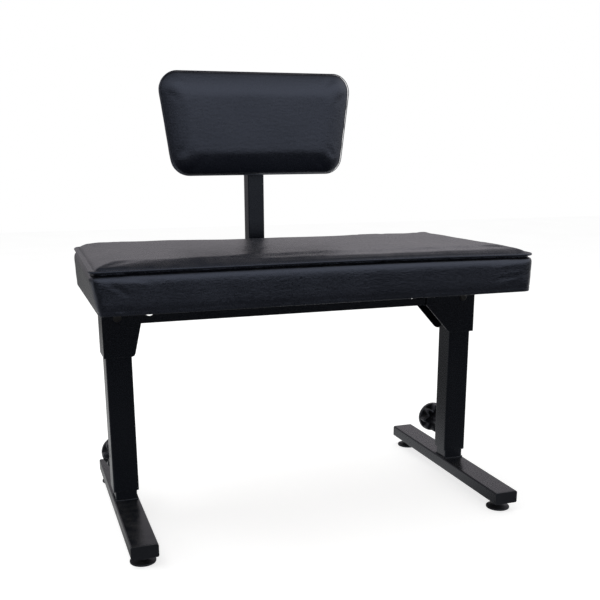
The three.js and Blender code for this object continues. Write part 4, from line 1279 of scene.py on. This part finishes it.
class BENCH_OT_feet(bpy.types.Operator):
    """Makes the four levelling feet and their threaded stems"""

    bl_idname = "bench.feet"
    bl_label = "Levelling Feet"

    def execute(self, context):
        for side in SIDES:
            for end in ENDS:
                self.foot(f"{side}_{end}")
        return {"FINISHED"}

    def foot(self, key):
        """Turned pad on the floor, and a stem with its thread, its collar and its shank."""
        at = middle(f"{key}_foot_pad")
        centre = (at.x, at.y, 0)
        radius, height = np.array(FOOT_PROFILE).T * MM
        pad = turned(radius, height, "Z", centre, 64)
        piece(f"{key}_pad", [(pad, "pole")], f"{key}_foot", "foot_plastic", [f"{key}_foot_pad"])
        thread = threaded(M8_RADIUS, M8_PITCH, 11.2 * MM, 28 * MM, "Z", centre)
        collar = nut(NUT_ACROSS, 3 * MM, 8.3 * MM, 11.3 * MM, "Z", centre)
        shank = turned([3.6 * MM] * 2, [3.3 * MM, 12 * MM], "Z", centre, 24)
        piece(f"{key}_stem_rod", [(thread, "open"), (collar, "ring"), (shank, "open")],
              f"{key}_stem", "zinc_steel", [f"{key}_foot_stem"])


class BENCH_OT_fasteners(bpy.types.Operator):
    """Makes the pivot bolts and nuts, the lock barrels and pull pins, and the back screws"""

    bl_idname = "bench.fasteners"
    bl_label = "Bolts, Nuts and Pins"

    def execute(self, context):
        for side in SIDES:
            self.pivot(side)
            self.lock(side)
        for index in range(1, 5):
            self.back_screw(f"back_screw_{index}")
        return {"FINISHED"}

    def pivot(self, side):
        """Pivot bolt with its head in front, and its nut behind the bracket."""
        low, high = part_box(f"{side}_pivot_bolt")
        centre = ((low.x + high.x) / 2, low.y, PIVOT_Z)
        length = high.y - low.y
        head = button_head(PIVOT_HEAD, (5.0, 2.75), 1, centre, 72)
        shank = turned([M8_RADIUS] * 2, [3 * MM, length - PIVOT_THREAD], "Y", centre, 32)
        thread = threaded(M8_RADIUS, M8_PITCH, length - PIVOT_THREAD, length, "Y", centre)
        piece(f"{side}_pivot_screw", [(head, "pole"), (shank, "open"), (thread, "open")],
              "base", "black_steel", [f"{side}_pivot_bolt"])
        low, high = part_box(f"{side}_pivot_nut")
        grid = nut(NUT_ACROSS, 4.2 * MM, low.y, high.y, "Y", (centre[0], 0, PIVOT_Z))
        piece(f"{side}_pivot_lock_nut", [(grid, "ring")], "base", "black_steel",
              [f"{side}_pivot_nut"])

    def lock(self, side):
        """Barrel of the lock, and the pin that is pulled by its ribbed knob."""
        at = middle(f"{side}_lock_barrel")
        centre = (at.x, 0, at.z)
        radius, along = np.array(BARREL_PROFILE).T * MM
        grid = turned(radius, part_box(f"{side}_lock_barrel")[0].y + along, "Y", centre, 48)
        piece(f"{side}_pin_barrel", [(grid, "ring")], "base", "zinc_steel",
              [f"{side}_lock_barrel"])
        low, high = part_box(f"{side}_lock_pin")
        end = (high.y - low.y) / MM
        columns = 144
        t = np.linspace(0, 2 * np.pi, columns, endpoint=False)
        ribbed = 10 * (1 - 0.025 * (1 - np.cos(36 * t)) / 2)
        rows = [
            (0.01, 0), (3.4, 0), (4, 0.7), (4, end - 16), (8.6, end - 16), (9.6, end - 15.4),
            (ribbed, end - 14), (ribbed, end - 3), (9.6, end - 1.4), (8.4, end - 0.4), (6, end),
            (0.01, end)]
        radius = np.array([np.broadcast_to(r, columns) for r, _ in rows]) * MM
        grid = turned(radius, low.y + np.array([a for _, a in rows]) * MM, "Y", centre, columns)
        piece(f"{side}_pull_pin", [(grid, "pole")], f"{side}_lock", "black_steel",
              [f"{side}_lock_pin"])

    def back_screw(self, node):
        """Screw of the back plate, with its head behind."""
        low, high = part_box(node)
        centre = ((low.x + high.x) / 2, high.y, (low.z + high.z) / 2)
        head = button_head(BACK_HEAD, (3.6, 2.0), -1, centre, 48)
        thread = threaded(M6_RADIUS, M6_PITCH, low.y - high.y, -3 * MM, "Y", centre)
        piece(node.replace("screw", "bolt"), [(head, "pole"), (thread, "open")], "backrest",
              "black_steel", [node])


# CAD nodes that stay

SHEET_PARTS = ("cross_rail", "left_cross_plate", "right_cross_plate", "left_leg_bracket",
               "right_leg_bracket", "back_plate", "seat_board", "backrest_board")
BRACKET_ROUND = 0.7 * MM
SHEET_ROUND = 0.3 * MM


class BENCH_OT_carried_nodes(bpy.types.Operator):
    """Gives every CAD node its slot's finish, and the sheet parts a small round on each edge"""

    bl_idname = "bench.carried_nodes"
    bl_label = "Rail, Brackets and Plates"

    def execute(self, context):
        for part in frame["record"]["subparts"]:
            node = frame["nodes"][part["node"]]
            if not node.material_slots:
                node.data.materials.append(None)
            for slot in node.material_slots:
                slot.link = "OBJECT"
                slot.material = finish(part["material_slot"])
            if part["node"] in SHEET_PARTS:
                self.round_edges(node, BRACKET_ROUND if "bracket" in part["node"] else SHEET_ROUND)
        return {"FINISHED"}

    def round_edges(self, node, width):
        """Joins a node's triangles into flats, and rounds the edges between them."""
        node.modifiers.new("Join", "WELD").merge_threshold = 1e-5
        flat = node.modifiers.new("Flats", "DECIMATE")
        flat.decimate_type = "DISSOLVE"
        flat.angle_limit = math.radians(0.5)
        edge = node.modifiers.new("Edge", "BEVEL")
        edge.width = width
        edge.segments = 2
        edge.limit_method = "ANGLE"
        edge.angle_limit = math.radians(50)


# Stage

FLOOR_HALF = 6.0
FLOOR_GLOW = 0.72

# Soft lights: place, what they are aimed at, and size, in metres
TOP_SOFTBOX = ((-0.3, 0.35, 2.3), (0, 0, 0.35), (2.6, 2.0))
LEFT_SOFTBOX = ((-2.3, 0.75, 0.75), (0, 0, 0.3), (1.6, 1.5))

# Light that the floor shows in reflections: from and to in metres, then the strengths there
UNDER_SEAT = (0.18, 0.3, 0.32, 1.0)
REAR_BEGINS = (-0.3, -0.06)
REAR_FADES = (0.4, 1.8, 0.8, 0.13)
NEAR_FADES = (-1.2, -0.95, 0.008, 0.2)

# Light that the surround shows in reflections: from and to as parts of the direction towards
# it, then the strengths there
FRONT_TO_REAR = (-0.3, 0.5)
REAR_RISES = (0.1, 0.36, 0.28, 0.7)
REAR_TOP = (0.4, 0.75, 0.7, 0.15)
REAR_ACROSS = (0.1, 0.45, 0.9, 1.15)
FRONT_RISES = (0.0, 0.4, 1.12, 1.6)
FRONT_TOP = (0.55, 0.95, 1.6, 0.4)
FRONT_ACROSS = (-0.8, -0.1, 0.45, 1.0)

# Camera solved from the photograph's straight edges
CAMERA_PLACE = (-0.44536, -1.35175, 0.558)
CAMERA_TURN = (-19.22, -14.48, -0.19)
PHOTO_PIXELS = 600
LENS_PIXELS = 843.41
SHIFT_PIXELS = 78.74
SENSOR = 36


class BENCH_OT_studio(bpy.types.Operator):
    """Makes the pale floor, the soft lights, the white surround and the photograph's camera"""

    bl_idname = "bench.studio"
    bl_label = "Studio"

    def execute(self, context):
        studio = context.scene.bench_studio
        self.floor()
        self.surround(context.scene, studio.surround)
        self.lamp("top_softbox", *TOP_SOFTBOX, studio.top_light)
        self.lamp("left_softbox", *LEFT_SOFTBOX, studio.side_light)
        self.camera(context.scene)
        return {"FINISHED"}

    def seen_plainly(self, tree, path):
        """1 where the camera sees a surface, directly or through glass."""
        return math_node(tree, "MAXIMUM", path["Is Camera Ray"], path["Is Transmission Ray"])

    def floor(self):
        """Pale floor that takes the bench's shadow, and is mirrored as light behind the bench
        and darkness before it."""
        grid = np.array([[-1, -1, 0], [1, -1, 0], [1, 1, 0], [-1, 1, 0]]) * FLOOR_HALF
        mesh = bpy.data.meshes.new("floor")
        mesh.from_pydata(grid.tolist(), [], [[0, 1, 2, 3]])
        floor = bpy.data.objects.new("floor", mesh)
        bpy.context.scene.collection.objects.link(floor)
        material, tree, shader = shader_of("bench_floor")
        path = new_node(tree, "ShaderNodeLightPath").outputs
        place = object_place(tree)
        tone = ramp(tree, noise(tree, place, 3.0, 2.0)["Fac"], 0.3, 0.7)
        pale = mixed(tree, tone, (0.5, 0.5, 0.5), (0.53, 0.53, 0.53))
        put(shader, {
            "Base Color": mixed(tree, path["Is Glossy Ray"], pale, (0.01, 0.01, 0.01)),
            "Roughness": 0.9,
            "Specular IOR Level": 0.0})
        at = new_node(tree, "ShaderNodeSeparateXYZ", {"Vector": place}).outputs
        aside = math_node(tree, "ABSOLUTE", math_node(tree, "ADD", at["X"], 0.1))
        shade = ramp(tree, aside, *UNDER_SEAT)
        rear = times(tree, ramp(tree, at["Y"], *REAR_BEGINS), ramp(tree, at["Y"], *REAR_FADES))
        near = ramp(tree, at["Y"], *NEAR_FADES)
        glare = math_node(tree, "MAXIMUM", near, times(tree, rear, shade))
        mirrored = times(tree, path["Is Glossy Ray"], glare)
        seen = times(tree, self.seen_plainly(tree, path), FLOOR_GLOW)
        level = math_node(tree, "ADD", mirrored, seen)
        glow = new_node(tree, "ShaderNodeEmission", {"Strength": level})
        both = new_node(tree, "ShaderNodeAddShader", {0: shader.outputs[0], 1: glow.outputs[0]})
        tree.links.new(both.outputs[0], tree.nodes["Material Output"].inputs["Surface"])
        mesh.materials.append(material)

    def surround(self, scene, strength):
        """Even light all round, mirrored weaker from the front and above, and plain white
        where it is seen."""
        world = bpy.data.worlds.new("bench_surround")
        world.use_nodes = True
        scene.world = world
        tree = world.node_tree
        tree.nodes.clear()
        path = new_node(tree, "ShaderNodeLightPath").outputs
        direction = new_node(tree, "ShaderNodeTexCoord").outputs["Generated"]
        x, y, z = new_node(tree, "ShaderNodeSeparateXYZ", {"Vector": direction}).outputs
        rear = math_node(tree, "MINIMUM", ramp(tree, z, *REAR_RISES), ramp(tree, z, *REAR_TOP))
        rear = times(tree, rear, ramp(tree, x, *REAR_ACROSS))
        warm = new_node(tree, "ShaderNodeCombineXYZ",
                        {0: rear, 1: times(tree, rear, 0.95), 2: rear})
        front = math_node(tree, "MINIMUM", ramp(tree, z, *FRONT_RISES), ramp(tree, z, *FRONT_TOP))
        front = times(tree, front, ramp(tree, x, *FRONT_ACROSS))
        mirrored = mixed(tree, ramp(tree, y, *FRONT_TO_REAR), front, warm.outputs[0])
        unseen = mixed(tree, path["Is Glossy Ray"], (strength,) * 3, mirrored)
        colour = mixed(tree, self.seen_plainly(tree, path), unseen, (1, 1, 1))
        lit = new_node(tree, "ShaderNodeBackground", {"Color": colour, "Strength": 1.0})
        out = new_node(tree, "ShaderNodeOutputWorld", {"Surface": lit.outputs[0]})
        out.is_active_output = True

    def lamp(self, name, place, target, size, power):
        """Soft rectangular light aimed at a place, and not seen in reflections."""
        data = bpy.data.lights.new(name, "AREA")
        data.shape = "RECTANGLE"
        data.size, data.size_y = size
        data.energy = power
        lamp = bpy.data.objects.new(name, data)
        aim = (Vector(target) - Vector(place)).to_track_quat("-Z", "Y")
        lamp.matrix_world = Matrix.Translation(place) @ aim.to_matrix().to_4x4()
        lamp.visible_glossy = False
        bpy.context.scene.collection.objects.link(lamp)

    def camera(self, scene):
        """Camera at the photograph's place, with its turn, tilt, roll and lens."""
        yaw, pitch, roll = np.radians(CAMERA_TURN)
        ahead = np.array([-np.sin(yaw) * np.cos(pitch), np.cos(yaw) * np.cos(pitch), np.sin(pitch)])
        right = np.cross(ahead, [0, 0, 1])
        right /= np.linalg.norm(right)
        up = np.cross(right, ahead)
        cos, sin = np.cos(roll), np.sin(roll)
        turn = np.column_stack([cos * right + sin * up, cos * up - sin * right, -ahead])
        data = bpy.data.cameras.new("photo_camera")
        data.sensor_width = SENSOR
        data.lens = SENSOR * LENS_PIXELS / PHOTO_PIXELS
        data.shift_y = SHIFT_PIXELS / PHOTO_PIXELS
        camera = bpy.data.objects.new("photo_camera", data)
        camera.matrix_world = Matrix.Translation(CAMERA_PLACE) @ Matrix(turn.tolist()).to_4x4()
        scene.collection.objects.link(camera)
        scene.camera = camera
        scene.view_settings.view_transform = "Standard"


# Sidebar and start


class BENCH_PT_sidebar(bpy.types.Panel):
    """Lists the bench's makers in the sidebar"""

    bl_label = "Folding Bench"
    bl_space_type = "VIEW_3D"
    bl_region_type = "UI"
    bl_category = "Bench"

    def draw(self, context):
        for group in SETTINGS:
            settings = getattr(context.scene, group)
            box = self.layout.box()
            for name in settings.__annotations__:
                box.prop(settings, name)
        for maker in MAKERS:
            self.layout.operator(maker.bl_idname)


MAKERS = (BENCH_OT_carried_nodes, BENCH_OT_legs, BENCH_OT_post, BENCH_OT_knobs, BENCH_OT_feet,
          BENCH_OT_fasteners, BENCH_OT_seat_pad, BENCH_OT_back_pad, BENCH_OT_studio)
SETTINGS = {"bench_upholstery": BenchUpholstery, "bench_hardware": BenchHardware,
            "bench_finishes": BenchFinishes, "bench_studio": BenchStudio}
CLASSES = (*SETTINGS.values(), *MAKERS, BENCH_PT_sidebar)


def register():
    for made in CLASSES:
        bpy.utils.register_class(made)
    for name, kind in SETTINGS.items():
        setattr(bpy.types.Scene, name, PointerProperty(type=kind))


def unregister():
    for name in SETTINGS:
        delattr(bpy.types.Scene, name)
    for made in reversed(CLASSES):
        bpy.utils.unregister_class(made)


def main():
    register()
    for maker in MAKERS:
        family, name = maker.bl_idname.split(".")
        getattr(getattr(bpy.ops, family), name)()


if __name__ == "__main__":
    main()
